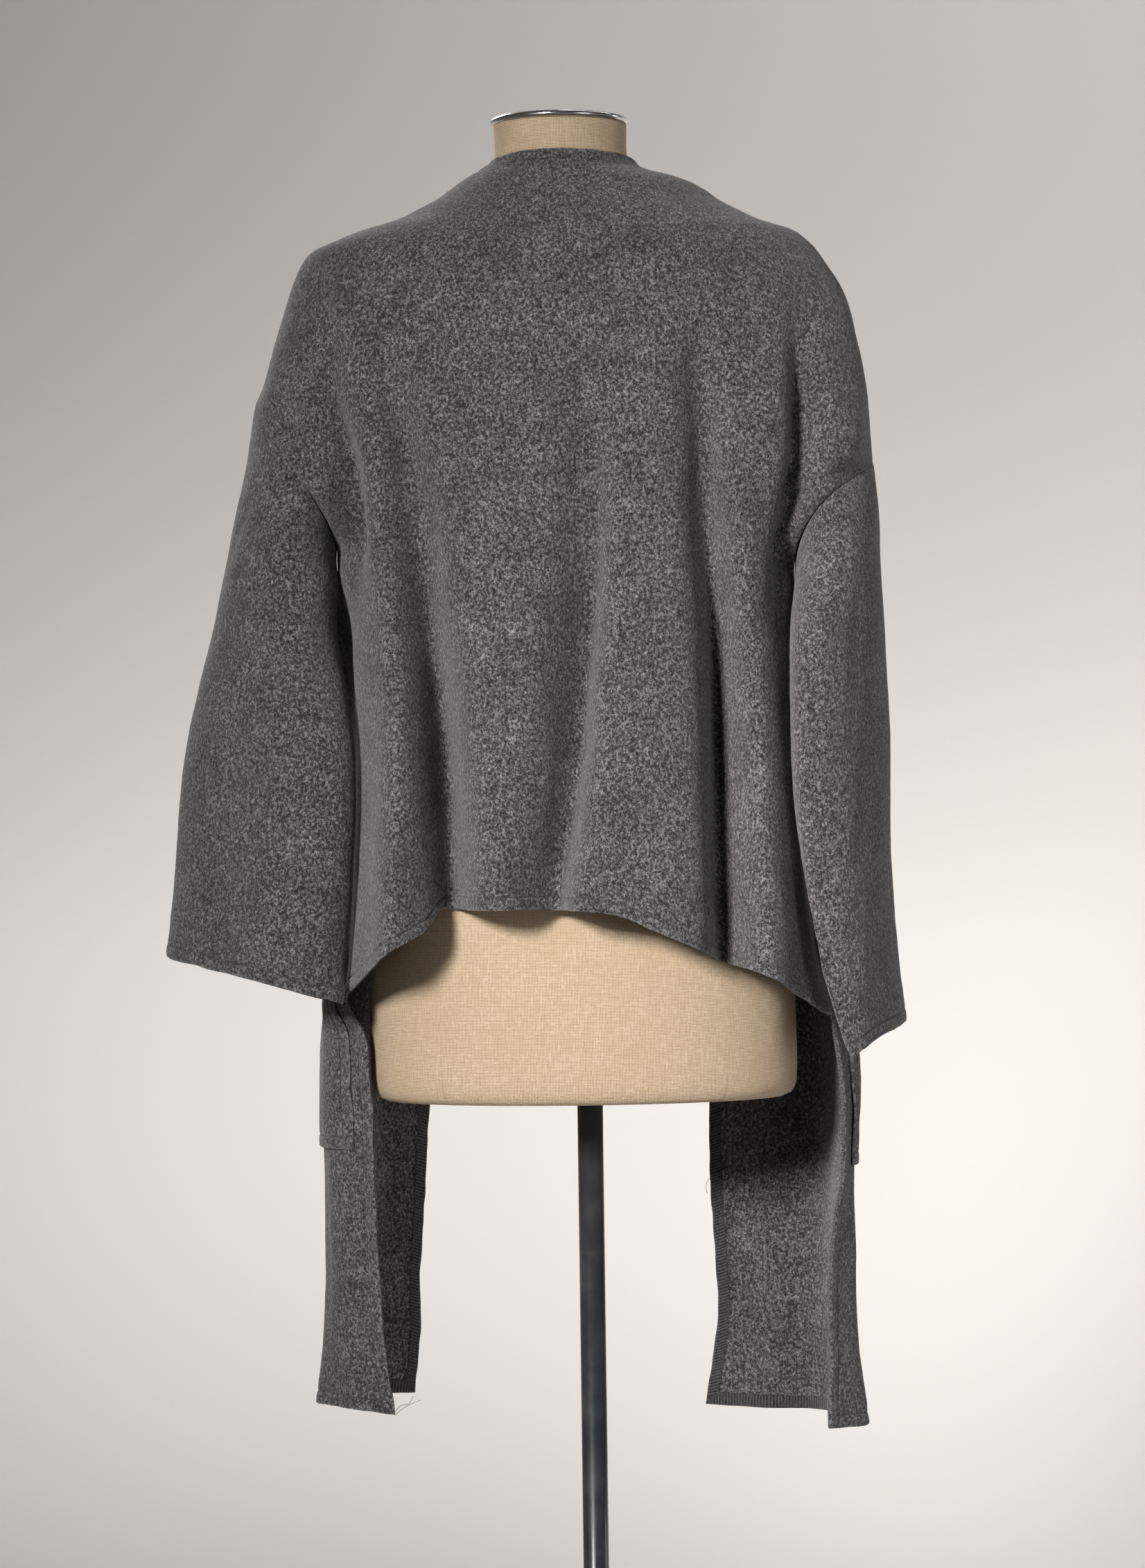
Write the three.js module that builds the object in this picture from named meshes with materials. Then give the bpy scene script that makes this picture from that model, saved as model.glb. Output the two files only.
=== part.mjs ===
import * as THREE from "three";

// A knit cardigan worn by a limbless dress form on a pole. Sizes are in millimetres.
// +X is the wearer's right, +Y is the wearer's front, +Z is up, and the floor is at zero.

// ---- Driving sizes ----
const WALL = 2.6; // thickness of the boiled-wool knit
const SEAM_GAP = 0.5; // between two cut pieces along a seam
const POCKET_LIFT = 0.35; // between a panel and the pocket that lies on it
const NECK_Z = 1526; // neckline at the sides of the neck
const NECK_BACK_RISE = 7; // the back neckline is this much higher in the middle
const FRONT_NECK_Z = 1515; // where the neckline turns into the front edge
const HALF_RING = 10; // wall segments from the top of an armhole to the underarm
const FOLD_TOP_Z = 1360; // above this the back lies smooth on the shoulders

const FORM_TOP_Z = 1558.6;
const FORM_SEGMENTS = 36;
const NECK_RADIUS = 54.5;
const CAP_GAP = 0.4;
const CAP_HEIGHT = 5.2;
const FORM_LEAN = { low_x: -4, high_x: -14, low_z: 760, high_z: 1564 };
const FORM_BOTTOM_Z = 760;

const POLE_RADIUS = 10.5;
const BASE_RADIUS = 180;
const BASE_EDGE = 9;
const HUB_RADIUS = 19;
const HUB_TOP_Z = 46;

// ---- Tables: one row for each level, columns named by the first argument ----

// Smooth curves through the rows of a table, by height.
function table(columns, rows) {
  const sorted = rows.slice().sort((a, b) => a[0] - b[0]);
  const slope = (i, c) => {
    const low = sorted[Math.max(0, i - 1)];
    const high = sorted[Math.min(sorted.length - 1, i + 1)];
    return (high[c] - low[c]) / (high[0] - low[0]);
  };
  return (key, name) => {
    const c = columns.indexOf(name);
    const last = sorted.length - 1;
    if (key <= sorted[0][0]) return sorted[0][c];
    if (key >= sorted[last][0]) return sorted[last][c];
    let i = 0;
    while (key > sorted[i + 1][0]) i += 1;
    const a = sorted[i];
    const b = sorted[i + 1];
    const h = b[0] - a[0];
    const u = (key - a[0]) / h;
    const u2 = u * u;
    const u3 = u2 * u;
    return (
      (2 * u3 - 3 * u2 + 1) * a[c] +
      (u3 - 2 * u2 + u) * h * slope(i, c) +
      (3 * u2 - 2 * u3) * b[c] +
      (u3 - u2) * h * slope(i + 1, c)
    );
  };
}

// Shoulder ridge on each side, from the top of the armhole up to the neck.
const SHOULDER = {
  left: table(["z", "x", "y"], [
    [1333, -267, 0], [1346, -261, 0], [1368, -254, 0], [1391, -247, 0], [1431, -234, 0],
    [1448, -226, 0], [1457, -218, 0], [1465, -199, 0], [1473, -178, 0], [1481, -151, 0],
    [1490, -133, 0], [1498, -117, 0], [1506, -105, 1], [1514, -94, 2], [1521, -82, 3],
    [1526, -74, 3],
  ]),
  right: table(["z", "x", "y"], [
    [1278, 240, 0], [1317, 237, 0], [1339, 235, 0], [1362, 231, 0], [1385, 226, 0],
    [1408, 221, 0], [1425, 214, 0], [1442, 203, 0], [1451, 197, 0], [1459, 190, 0],
    [1469, 176, 0], [1477, 152, 0], [1486, 133, 0], [1494, 117, 0], [1504, 104, 1],
    [1512, 88, 2], [1521, 54, 3], [1526, 48, 3],
  ]),
};

// Side seam on each side, from the underarm down to the corner of the back hem.
const SIDE = {
  left: table(["z", "x", "y"], [
    [842, -199, -40], [863, -196, -40], [900, -192, -38], [950, -189, -35],
    [1035, -186, -30], [1100, -187, -25], [1150, -190, -20], [1208, -203, -15],
  ]),
  right: table(["z", "x", "y"], [
    [816, 202, -30], [860, 189, -35], [900, 180, -37], [943, 172, -39],
    [1000, 168, -40], [1100, 167, -40], [1140, 168, -41], [1190, 172, -42],
  ]),
};

// The back's depth behind the pole at each level, and how square its corners are.
const BACK = table(["z", "depth", "square_left", "square_right"], [
  [818, -182, 2.3, 2.0],
  [918, -177, 2.2, 2.0],
  [1000, -165, 2.15, 2.0],
  [1100, -147, 2.2, 2.0],
  [1205, -133, 2.3, 2.2],
  [1270, -127, 2.3, 2.3],
  [1330, -125, 2.4, 2.4],
  [1380, -120, 2.4, 2.4],
  [1420, -112, 2.3, 2.3],
  [1454, -103, 2.2, 2.2],
  [1479, -91, 2.1, 2.1],
  [1496, -81, 2.0, 2.0],
  [1513, -70, 2.0, 2.0],
  [1533, -59, 2.0, 2.0],
]);
const BACK_CENTRE_X = -13;

// How the back turns towards its ends above the underarm: the depth at which the turn ends,
// before the last strip runs to the seam, and how far it turns. 90 is parallel to the side.
const BACK_TURN = {
  left: table(["z", "y", "degrees"], [
    [1150, -20, 90], [1208, -15, 90], [1235, -46, 80], [1262, -62, 66], [1295, -52, 68],
    [1329, -32, 82], [1365, -12, 90], [1420, 0, 90],
  ]),
  right: table(["z", "y", "degrees"], [
    [1145, -41, 90], [1190, -44, 90], [1215, -62, 80], [1238, -72, 66], [1262, -66, 68],
    [1281, -55, 78], [1320, -32, 88], [1360, -14, 90], [1420, 0, 90],
  ]),
};
const TURN_STRIP = 0.24; // share of each half of the back that runs on to the seam

// Hem of the back: its height along X, with the step where the left flute overhangs a trough.
const BACK_HEM = table(["x", "z"], [
  [-199, 842], [-190, 853], [-165, 875], [-148, 888], [-132, 901], [-125, 906], [-118, 918],
  [-100, 918], [-20, 917], [15, 915], [38, 908], [50, 902], [67, 895], [92, 883], [119, 871],
  [141, 859], [161, 844], [179, 830], [202, 816],
]);

// Folds that hang down the back: positive depth goes in, negative comes out.
const BACK_FOLDS = [
  ["z", "x", "depth", "left", "right"],
  {
    name: "left armpit crease",
    straight: false,
    rows: [
      [1150, -184, 0, 10, 12], [1190, -188, 10, 10, 12], [1225, -190, 20, 10, 12],
      [1265, -192, 24, 10, 13], [1300, -199, 21, 10, 14], [1331, -206, 15, 11, 15],
      [1400, -208, 0, 16, 20],
    ],
  },
  {
    name: "left trough",
    straight: true,
    rows: [
      [820, -116, 51, 9, 22], [935, -116, 51, 9, 22], [979, -118, 53, 9, 22],
      [1034, -120, 54, 10, 22], [1089, -123, 50, 11, 22], [1144, -127, 38, 13, 21],
      [1199, -131, 27, 15, 20], [1265, -136, 19, 15, 18], [1331, -152, 11, 13, 18],
      [1400, -160, 0, 20, 24],
    ],
  },
  {
    name: "left flute",
    straight: true,
    rows: [
      [820, -158, -16, 22, 20], [924, -152, -15, 20, 18], [1000, -150, -12, 20, 18],
      [1100, -152, -8, 20, 18], [1222, -164, -4, 20, 16], [1320, -178, 0, 20, 16],
    ],
  },
  {
    name: "middle trough",
    straight: true,
    rows: [
      [820, -60, 28, 26, 10], [935, -52, 28, 28, 10], [979, -40, 30, 30, 10],
      [1034, -24, 32, 31, 9], [1089, -18, 30, 31, 9], [1144, -7, 25, 31, 9],
      [1199, -2, 19, 30, 9], [1265, -1, 13, 28, 10], [1343, 3, 0, 24, 16],
    ],
  },
  {
    name: "right trough",
    straight: true,
    rows: [
      [820, 108, 42, 14, 12], [935, 109, 42, 14, 12], [979, 108, 45, 14, 12],
      [1034, 107, 46, 14, 12], [1089, 106, 42, 15, 12], [1144, 103, 34, 16, 13],
      [1199, 99, 26, 15, 13], [1265, 97, 20, 14, 13], [1331, 95, 12, 13, 13],
      [1400, 92, 0, 20, 22],
    ],
  },
  {
    name: "right flute",
    straight: true,
    rows: [
      [820, 140, -12, 18, 24], [924, 140, -11, 18, 24], [1006, 138, -8, 18, 24],
      [1144, 134, -5, 18, 24], [1240, 128, -3, 16, 20], [1320, 124, 0, 16, 20],
    ],
  },
  {
    name: "right armpit crease",
    straight: false,
    rows: [
      [1120, 154, 0, 12, 10], [1190, 160, 9, 11, 10], [1235, 170, 21, 11, 10],
      [1270, 178, 26, 11, 11], [1310, 180, 23, 12, 12], [1370, 180, 9, 14, 15],
      [1430, 178, 0, 18, 18],
    ],
  },
];

// Sleeves by level: outer and inner edge, middle and half of the depth, and how far the outer
// edge stands forward of the inner one.
const SLEEVE = {
  left: table(["z", "outer", "inner", "middle_y", "half_depth", "skew"], [
    [832, -350, -198, -46, 45, 36],
    [877, -346, -195, -45, 46, 37],
    [932, -340, -189, -43, 48, 38],
    [1000, -334, -185, -40, 50, 37],
    [1046, -329, -186, -37, 52, 35],
    [1092, -319, -193, -30, 56, 29],
    [1150, -304, -204, -17, 64, 18],
    [1208, -292, -203, -7, 72, 9],
    [1267, -278.5, -194, -3, 76, 4],
    [1333, -267, -170, -2, 78, 2],
  ]),
  right: table(["z", "outer", "inner", "middle_y", "half_depth", "skew"], [
    [798, 262, 180, -46, 54, 44],
    [864, 256, 176, -46, 53, 45],
    [943, 251, 173, -46, 52, 46],
    [1000, 250.5, 167, -46, 52, 46],
    [1046, 250.5, 165, -46, 53, 45],
    [1137, 247, 165.5, -43, 60, 39],
    [1190, 244, 172, -27, 69, 17],
    [1240, 243, 168, -14, 70, 8],
    [1278, 240, 150, -2, 70, 2],
  ]),
};

// Height of each armhole seam, from its top at 0 degrees round the back to the underarm at
// 180. The front half mirrors the back half.
const ARMHOLE = {
  left: table(["degrees", "z"], [
    [0, 1333], [30, 1321], [60, 1300], [90, 1276], [120, 1252], [150, 1229], [180, 1208],
  ]),
  right: table(["degrees", "z"], [
    [0, 1278], [30, 1272], [60, 1262], [90, 1250], [120, 1234], [150, 1214], [180, 1190],
  ]),
};

// Height of each cuff round the sleeve: 0 is the outer edge, 90 the back, 180 the inner edge.
const CUFF = {
  left: table(["degrees", "z"], [
    [0, 881], [45, 875], [60, 871], [90, 863], [112, 856], [130, 851], [150, 846], [180, 842],
    [225, 846], [270, 858], [315, 873], [360, 881],
  ]),
  right: table(["degrees", "z"], [
    [0, 820], [60, 812], [90, 802], [108, 798], [126, 836], [144, 884], [162, 928],
    [180, 948], [216, 950], [252, 920], [288, 875], [324, 838], [360, 820],
  ]),
};

// Soft troughs that hang down each sleeve, by degrees round it.
const SLEEVE_FOLDS = {
  left: [
    { at: 66, width: 22, depth: 9, top: 1300, full: 900 },
    { at: 118, width: 18, depth: 5, top: 1180, full: 880 },
    { at: 232, width: 26, depth: 8, top: 1250, full: 900 },
    { at: 300, width: 24, depth: 7, top: 1260, full: 880 },
  ],
  right: [
    { at: 84, width: 16, depth: -4, top: 1240, full: 960 },
    { at: 128, width: 16, depth: 5, top: 1200, full: 950 },
    { at: 318, width: 26, depth: 8, top: 1220, full: 900 },
  ],
};

// Front panels by level: the outer fold, the middle and the front edge of each, and the free
// back edge below the side seam. Ridge is 1 where the cloth turns smoothly over from the back.
const FRONT_COLUMNS = [
  "z", "ridge", "back_x", "back_y", "fold_x", "fold_y", "middle_x", "middle_y",
  "edge_x", "edge_y",
];
const FRONT = {
  left: table(FRONT_COLUMNS, [
    [505, 0, -162, -48, -230, -5, -200, 68, -151, 106],
    [553, 0, -169, -46, -225, -5, -198, 69, -147, 108],
    [607, 0, -174, -45, -222, -5, -197, 70, -146, 110],
    [700, 0, -177, -46, -223, -5, -196, 72, -140, 112],
    [770, 0, -179, -46, -223, -4, -195, 76, -135, 116],
    [815, 0.2, -184, -44, -222, 6, -193, 82, -132, 120],
    [842, 0.3, -199, -40, -221, 14, -190, 86, -130, 123],
    [900, 0.6, -192, -38, -212, 22, -182, 94, -122, 131],
    [1000, 0.8, -186, -32, -204, 30, -175, 101, -112, 141],
    [1060, 0.8, -186, -28, -203, 33, -171, 104, -108, 145],
    [1100, 0.8, -187, -25, -208, 32, -171, 105, -106, 147],
    [1140, 0.8, -189, -21, -213, 33, -172, 107, -104, 149],
    [1176, 0.8, -195, -18, -208, 35, -170, 109, -102, 150],
    [1208, 0.6, -203, -15, -198, 40, -165, 111, -100, 150],
    [1270, 0, -236, 70, -205, 88, -160, 119, -97, 149],
    [1333, 0.8, -267, 0, -245, 62, -172, 118, -92, 139],
    [1400, 1, -243, 0, -225, 60, -160, 106, -88, 116],
    [1445, 1, -226, 0, -208, 50, -150, 86, -84, 94],
    [1462, 1, -199, 0, -180, 44, -130, 73, -82, 82],
    [1479, 1, -151, 0, -137, 36, -112, 59, -80, 70],
    [1496, 1, -117, 0, -110, 28, -95, 47, -78, 58],
    [1513, 1, -94, 2, -91, 20, -84, 34, -73, 45],
    [1526, 1, -74, 3, -73, 14, -71, 22, -67, 31],
  ]),
  right: table(FRONT_COLUMNS, [
    [488, 0, 193, -28, 228, 12, 181, 95, 95, 120],
    [545, 0, 194, -28, 221, 12, 180, 95, 104, 120],
    [575, 0, 194, -28, 219, 12, 180, 95, 107, 120],
    [613, 0, 194.5, -28, 218, 12, 180, 95, 105, 120],
    [670, 0, 202, -30, 217, 14, 182, 95, 102, 120],
    [704, 0, 207, -30, 218, 15, 183, 95, 101.5, 121],
    [727, 0, 209, -30, 219, 16, 183, 96, 101.5, 122],
    [784, 0, 205, -29, 221, 18, 183, 97, 101, 125],
    [816, 0.3, 202, -30, 216, 22, 180, 99, 98, 129],
    [860, 0.5, 187, -35, 204, 28, 174, 102, 94, 134],
    [900, 0.7, 178, -37, 194, 32, 168, 104, 90, 138],
    [943, 0.8, 176, -39, 187, 34, 162, 106, 87, 142],
    [1000, 0.8, 173, -40, 179, 36, 156, 108, 84, 146],
    [1100, 0.8, 171, -40, 174, 38, 150, 111, 78, 149],
    [1190, 0.6, 172, -42, 169, 40, 147, 113, 72, 151],
    [1240, 0, 205, 56, 180, 82, 138, 120, 69, 149],
    [1278, 0.8, 240, 0, 214, 64, 145, 121, 67, 146],
    [1329, 1, 236, 0, 214, 64, 140, 119, 64, 138],
    [1400, 1, 223, 0, 203, 60, 133, 106, 60, 116],
    [1445, 1, 203, 0, 183, 50, 123, 86, 56, 94],
    [1462, 1, 190, 0, 165, 44, 110, 73, 54, 82],
    [1479, 1, 152, 0, 130, 36, 92, 59, 52, 70],
    [1496, 1, 117, 0, 104, 28, 76, 47, 50, 58],
    [1512, 1, 88, 2, 79, 20, 62, 34, 46, 45],
    [1526, 1, 48, 3, 47, 14, 44, 22, 40, 31],
  ]),
};

// Soft folds down each front panel, by the share of its width from the side seam.
const FRONT_FOLDS = {
  left: [
    { at: 0.3, width: 0.1, depth: 6, top: 1180, full: 900 },
    { at: 0.62, width: 0.11, depth: 8, top: 1380, full: 1000 },
    { at: 0.83, width: 0.08, depth: -6, top: 1420, full: 1000 },
  ],
  right: [
    { at: 0.34, width: 0.1, depth: 5, top: 1180, full: 900 },
    { at: 0.58, width: 0.11, depth: -7, top: 1380, full: 1000 },
    { at: 0.78, width: 0.09, depth: 8, top: 1400, full: 1000 },
  ],
};

const PANEL_COLUMNS = 18;
const FIRST_COLUMN = 0.08; // share of the width from the free back edge to the pocket
const POCKET = {
  left: { first: 1, last: 16, top: 890, bottom: 721 },
  right: { first: 1, last: 16, top: 890, bottom: 701 },
};
const PANEL_BOTTOM = {
  left: { back: 506, fold: 511, edge: 505 },
  right: { back: 487, fold: 485, edge: 490 },
};

// Levels shared by the pieces on both sides of a seam.
const UPPER_LEVELS = {
  left: [1526, 1521, 1514, 1498, 1481, 1465, 1448, 1420, 1376, 1333],
  right: [1526, 1521, 1512, 1494, 1477, 1459, 1442, 1405, 1340, 1278],
};
const SIDE_LEVELS = {
  left: [1208, 1150, 1095, 1040, 990, 940, 890, 842],
  right: [1190, 1145, 1095, 1040, 990, 940, 890, 816],
};
const PANEL_LEVELS = {
  left: [842, 815, 770, 721, 665, 610, 556, 505],
  right: [816, 784, 744, 701, 650, 600, 548, 490],
};

const FORM = table(["z", "half_width", "back", "front", "square"], [
  [760, 164, 113, 111, 2.1],
  [763, 170, 118, 116, 2.1],
  [772, 174, 122, 120, 2.1],
  [800, 175, 123, 121, 2.1],
  [860, 174, 122, 120, 2.1],
  [920, 167, 117, 116, 2.1],
  [980, 151, 107, 108, 2.1],
  [1040, 131, 96, 98, 2.1],
  [1070, 126, 93, 96, 2.1],
  [1120, 131, 95, 101, 2.1],
  [1180, 142, 98, 113, 2.1],
  [1240, 152, 101, 129, 2.1],
  [1270, 155, 103, 133, 2.1],
  [1320, 160, 106, 124, 2.2],
  [1370, 170, 106, 102, 2.2],
  [1410, 184, 98, 86, 2.2],
  [1438, 189, 86, 76, 2.1],
  [1454, 184, 76, 69, 2.0],
  [1467.2, 162, 66, 62, 2.0],
  [1477.8, 138, 62, 59, 2.0],
  [1490, 111, 60, 57, 2.0],
  [1503.5, 86, 58, 56, 2.0],
  [1513, 68, 56, 55, 2.0],
  [1522, 58, 55, 55, 2.0],
  [1530, NECK_RADIUS, NECK_RADIUS, NECK_RADIUS, 2.0],
  [FORM_TOP_Z, NECK_RADIUS, NECK_RADIUS, NECK_RADIUS, 2.0],
]);
const FORM_LEVELS = [
  760, 763, 772, 800, 860, 920, 980, 1040, 1070, 1120, 1180, 1240, 1270, 1320, 1370, 1410,
  1438, 1454, 1467.2, 1477.8, 1490, 1503.5, 1513, 1522, 1530, FORM_TOP_Z,
];

// ---- Small helpers ----
const radians = (degrees) => (degrees * Math.PI) / 180;
const mix = (a, b, share) => a + (b - a) * share;
const clamp = (value, low, high) => Math.min(high, Math.max(low, value));
const ease = (value) => {
  const v = clamp(value, 0, 1);
  return v * v * (3 - 2 * v);
};
const bell = (distance, width) => Math.exp(-((distance / width) ** 2));
const wrap = (degrees) => ((((degrees + 180) % 360) + 360) % 360) - 180;

// How much of a fold shows at a height: none above its top, all of it below full.
const grown = (fold, z) => ease((fold.top - z) / (fold.top - fold.full));

// ---- Surfaces: each returns the outer face of the cloth ----
const armholeZ = (side, degrees) => ARMHOLE[side](Math.abs(wrap(degrees)), "z");

function armholeDegrees(side, z) {
  let low = 0;
  let high = 180;
  for (let i = 0; i < 40; i += 1) {
    const middle = (low + high) / 2;
    if (ARMHOLE[side](middle, "z") > z) low = middle;
    else high = middle;
  }
  return (low + high) / 2;
}

const armholeTop = (side) => ARMHOLE[side](0, "z");
const armholeBottom = (side) => ARMHOLE[side](180, "z");

function sleevePoint(side, degrees, z) {
  const read = (name) => SLEEVE[side](z, name);
  const outward = Math.cos(radians(degrees));
  const backward = Math.sin(radians(degrees));
  let swell = 0;
  for (const fold of SLEEVE_FOLDS[side]) {
    swell -= fold.depth * grown(fold, z) * bell(wrap(degrees - fold.at), fold.width);
  }
  const middle = (read("outer") + read("inner")) / 2;
  const half = (read("outer") - read("inner")) / 2;
  const reach = Math.hypot(half, read("half_depth"));
  const share = 1 + (swell / reach) * 1.3;
  return new THREE.Vector3(
    middle + half * outward * (1 + (share - 1) * 0.3),
    read("middle_y") + read("skew") * outward - read("half_depth") * backward * share,
    z,
  );
}

// The line where the body ends on one side: shoulder, half of the armhole, then side seam.
function seamPoint(side, face, z) {
  const top = armholeTop(side);
  const bottom = armholeBottom(side);
  if (z > top) {
    return new THREE.Vector3(SHOULDER[side](z, "x"), SHOULDER[side](z, "y"), z);
  }
  if (z >= bottom) {
    const degrees = armholeDegrees(side, z);
    return sleevePoint(side, face === "back" ? degrees : 360 - degrees, z);
  }
  const start = sleevePoint(side, 180, bottom);
  const fade = ease((z - (bottom - 60)) / 60);
  return new THREE.Vector3(
    mix(SIDE[side](z, "x"), start.x, fade),
    mix(SIDE[side](z, "y"), start.y, fade),
    z,
  );
}

function arcShares(angle, end, square) {
  const reach = (a) =>
    (Math.abs(Math.sin(a)) ** square + Math.abs(Math.cos(a)) ** square) ** (-1 / square);
  const low = reach(end) * Math.cos(end);
  return {
    across: (reach(angle) * Math.sin(angle)) / (reach(end) * Math.sin(end)),
    deep: (reach(angle) * Math.cos(angle) - low) / (1 - low),
  };
}

// The back without its folds: t runs from -1 at the left seam to 1 at the right seam.
function backBase(t, z) {
  const side = t < 0 ? "left" : "right";
  const seam = seamPoint(side, "back", z);
  const end = radians(BACK_TURN[side](z, "degrees"));
  const square = BACK(z, side === "left" ? "square_left" : "square_right");
  const { across, deep } = arcShares(Math.abs(t) * end, end, square);
  const turnY = z > armholeBottom(side) ? BACK_TURN[side](z, "y") : seam.y;
  const strip = ease((Math.abs(t) - 1 + TURN_STRIP) / TURN_STRIP);
  return new THREE.Vector3(
    mix(BACK_CENTRE_X, seam.x, across),
    mix(turnY, BACK(z, "depth"), deep) + (seam.y - turnY) * strip,
    z,
  );
}

const backFolds = BACK_FOLDS.slice(1).map(({ rows }) => table(BACK_FOLDS[0], rows));

function backPoint(t, z) {
  const here = backBase(t, z);
  const step = 0.004;
  const a = backBase(clamp(t - step, -1, 1), z);
  const b = backBase(clamp(t + step, -1, 1), z);
  const along = b.sub(a).normalize();
  const inward = new THREE.Vector3(-along.y, along.x, 0);
  const straight = new THREE.Vector3(-0.3 * along.y, along.x, 0).normalize();
  const held = ease((1 - Math.abs(t)) / 0.06);
  const point = here.clone();
  backFolds.forEach((read, i) => {
    const off = here.x - read(z, "x");
    const depth = read(z, "depth") * bell(off, read(z, off < 0 ? "left" : "right"));
    point.addScaledVector(BACK_FOLDS[i + 1].straight ? straight : inward, depth * held);
  });
  return point;
}

// Smooth curve through four points in plan, with t from 0 to 1 by distance along it.
function planCurve(points, ridge, t) {
  const [seam, fold, middle, edge] = points;
  const turned = new THREE.Vector2(fold.x, 2 * seam.y - fold.y);
  const straight = new THREE.Vector2(2 * seam.x - fold.x, 2 * seam.y - fold.y);
  const before = straight.lerp(turned, ridge);
  const after = new THREE.Vector2(2 * edge.x - middle.x, 2 * edge.y - middle.y);
  const all = [before, seam, fold, middle, edge, after];
  const lengths = [seam.distanceTo(fold), fold.distanceTo(middle), middle.distanceTo(edge)];
  const total = lengths[0] + lengths[1] + lengths[2];
  let rest = clamp(t, 0, 1) * total;
  let i = 0;
  while (i < 2 && rest > lengths[i]) {
    rest -= lengths[i];
    i += 1;
  }
  const u = rest / lengths[i];
  const span = (k) => all[k + 1].clone().sub(all[k]);
  const tangent = (k) => {
    const low = span(k - 1);
    const high = span(k);
    return low.normalize().add(high.normalize()).multiplyScalar(0.5 * lengths[i]);
  };
  const u2 = u * u;
  const u3 = u2 * u;
  return new THREE.Vector2()
    .addScaledVector(all[i + 1], 2 * u3 - 3 * u2 + 1)
    .addScaledVector(tangent(i + 1), u3 - 2 * u2 + u)
    .addScaledVector(all[i + 2], 3 * u2 - 2 * u3)
    .addScaledVector(tangent(i + 2), u3 - u2);
}

function frontBase(side, t, z) {
  const read = (name) => FRONT[side](z, name);
  const corner = SIDE_LEVELS[side][SIDE_LEVELS[side].length - 1];
  const seam = z >= corner ? seamPoint(side, "front", z) : null;
  const points = [
    seam ? new THREE.Vector2(seam.x, seam.y) : new THREE.Vector2(read("back_x"), read("back_y")),
    new THREE.Vector2(read("fold_x"), read("fold_y")),
    new THREE.Vector2(read("middle_x"), read("middle_y")),
    new THREE.Vector2(read("edge_x"), read("edge_y")),
  ];
  const flat = planCurve(points, clamp(read("ridge"), 0, 1), t);
  return new THREE.Vector3(flat.x, flat.y, z);
}

function frontPoint(side, t, z) {
  const here = frontBase(side, t, z);
  const step = 0.01;
  const a = frontBase(side, clamp(t - step, 0, 1), z);
  const b = frontBase(side, clamp(t + step, 0, 1), z);
  const along = b.sub(a).normalize();
  const mirror = side === "left" ? 1 : -1;
  const inward = new THREE.Vector3(along.y * mirror, -along.x * mirror, 0);
  let depth = 0;
  for (const fold of FRONT_FOLDS[side]) {
    depth += fold.depth * grown(fold, z) * bell(t - fold.at, fold.width);
  }
  return here.addScaledVector(inward, depth * ease(t / 0.08));
}

// ---- From a surface to a closed wall of cloth ----

// The unit normal of a surface, turned so that it points away from the inside.
function normalAt(surface, u, v, sign) {
  const du = 0.004;
  const dv = 1.5;
  const along = surface(u + du, v).sub(surface(u - du, v));
  const up = surface(u, v + dv).sub(surface(u, v - dv));
  return along.cross(up).normalize().multiplyScalar(sign);
}

// A wall from rows of { point, normal }; the outer face is at lift + WALL over the points when
// the wall lies on another piece, and at the points themselves when it doesn't.
function wallGeometry(rows, closed, lift = null) {
  const high = lift === null ? 0 : lift + WALL;
  const low = lift === null ? -WALL : lift;
  const count = rows[0].length;
  const at = (r, c, side) => {
    const { point, normal } = rows[r][c % count];
    return point.clone().addScaledVector(normal, side ? low : high);
  };
  const positions = [];
  const triangle = (a, b, c) => {
    for (const p of [a, b, c]) positions.push(p.x, p.y, p.z);
  };
  const quad = (a, b, c, d) => {
    if (a.distanceTo(c) <= b.distanceTo(d)) {
      triangle(a, b, c);
      triangle(a, c, d);
    } else {
      triangle(a, b, d);
      triangle(b, c, d);
    }
  };
  const columns = closed ? count : count - 1;
  const last = rows.length - 1;
  const middle = Math.floor(last / 2);
  const probe = at(middle, 1, 0).sub(at(middle, 0, 0));
  probe.cross(at(middle + 1, 0, 0).sub(at(middle, 0, 0)));
  const flip = probe.dot(rows[middle][0].normal) < 0;
  const face = (a, b, c, d) => (flip ? quad(a, d, c, b) : quad(a, b, c, d));
  for (let r = 0; r < last; r += 1) {
    for (let c = 0; c < columns; c += 1) {
      face(at(r, c, 0), at(r, c + 1, 0), at(r + 1, c + 1, 0), at(r + 1, c, 0));
      face(at(r, c, 1), at(r + 1, c, 1), at(r + 1, c + 1, 1), at(r, c + 1, 1));
    }
  }
  for (let c = 0; c < columns; c += 1) {
    face(at(0, c, 1), at(0, c + 1, 1), at(0, c + 1, 0), at(0, c, 0));
    face(at(last, c, 0), at(last, c + 1, 0), at(last, c + 1, 1), at(last, c, 1));
  }
  if (!closed) {
    for (let r = 0; r < last; r += 1) {
      face(at(r, 0, 1), at(r, 0, 0), at(r + 1, 0, 0), at(r + 1, 0, 1));
      const c = count - 1;
      face(at(r, c, 0), at(r, c, 1), at(r + 1, c, 1), at(r + 1, c, 0));
    }
  }
  return new THREE.BufferGeometry().setAttribute(
    "position",
    new THREE.Float32BufferAttribute(positions, 3),
  );
}

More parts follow.
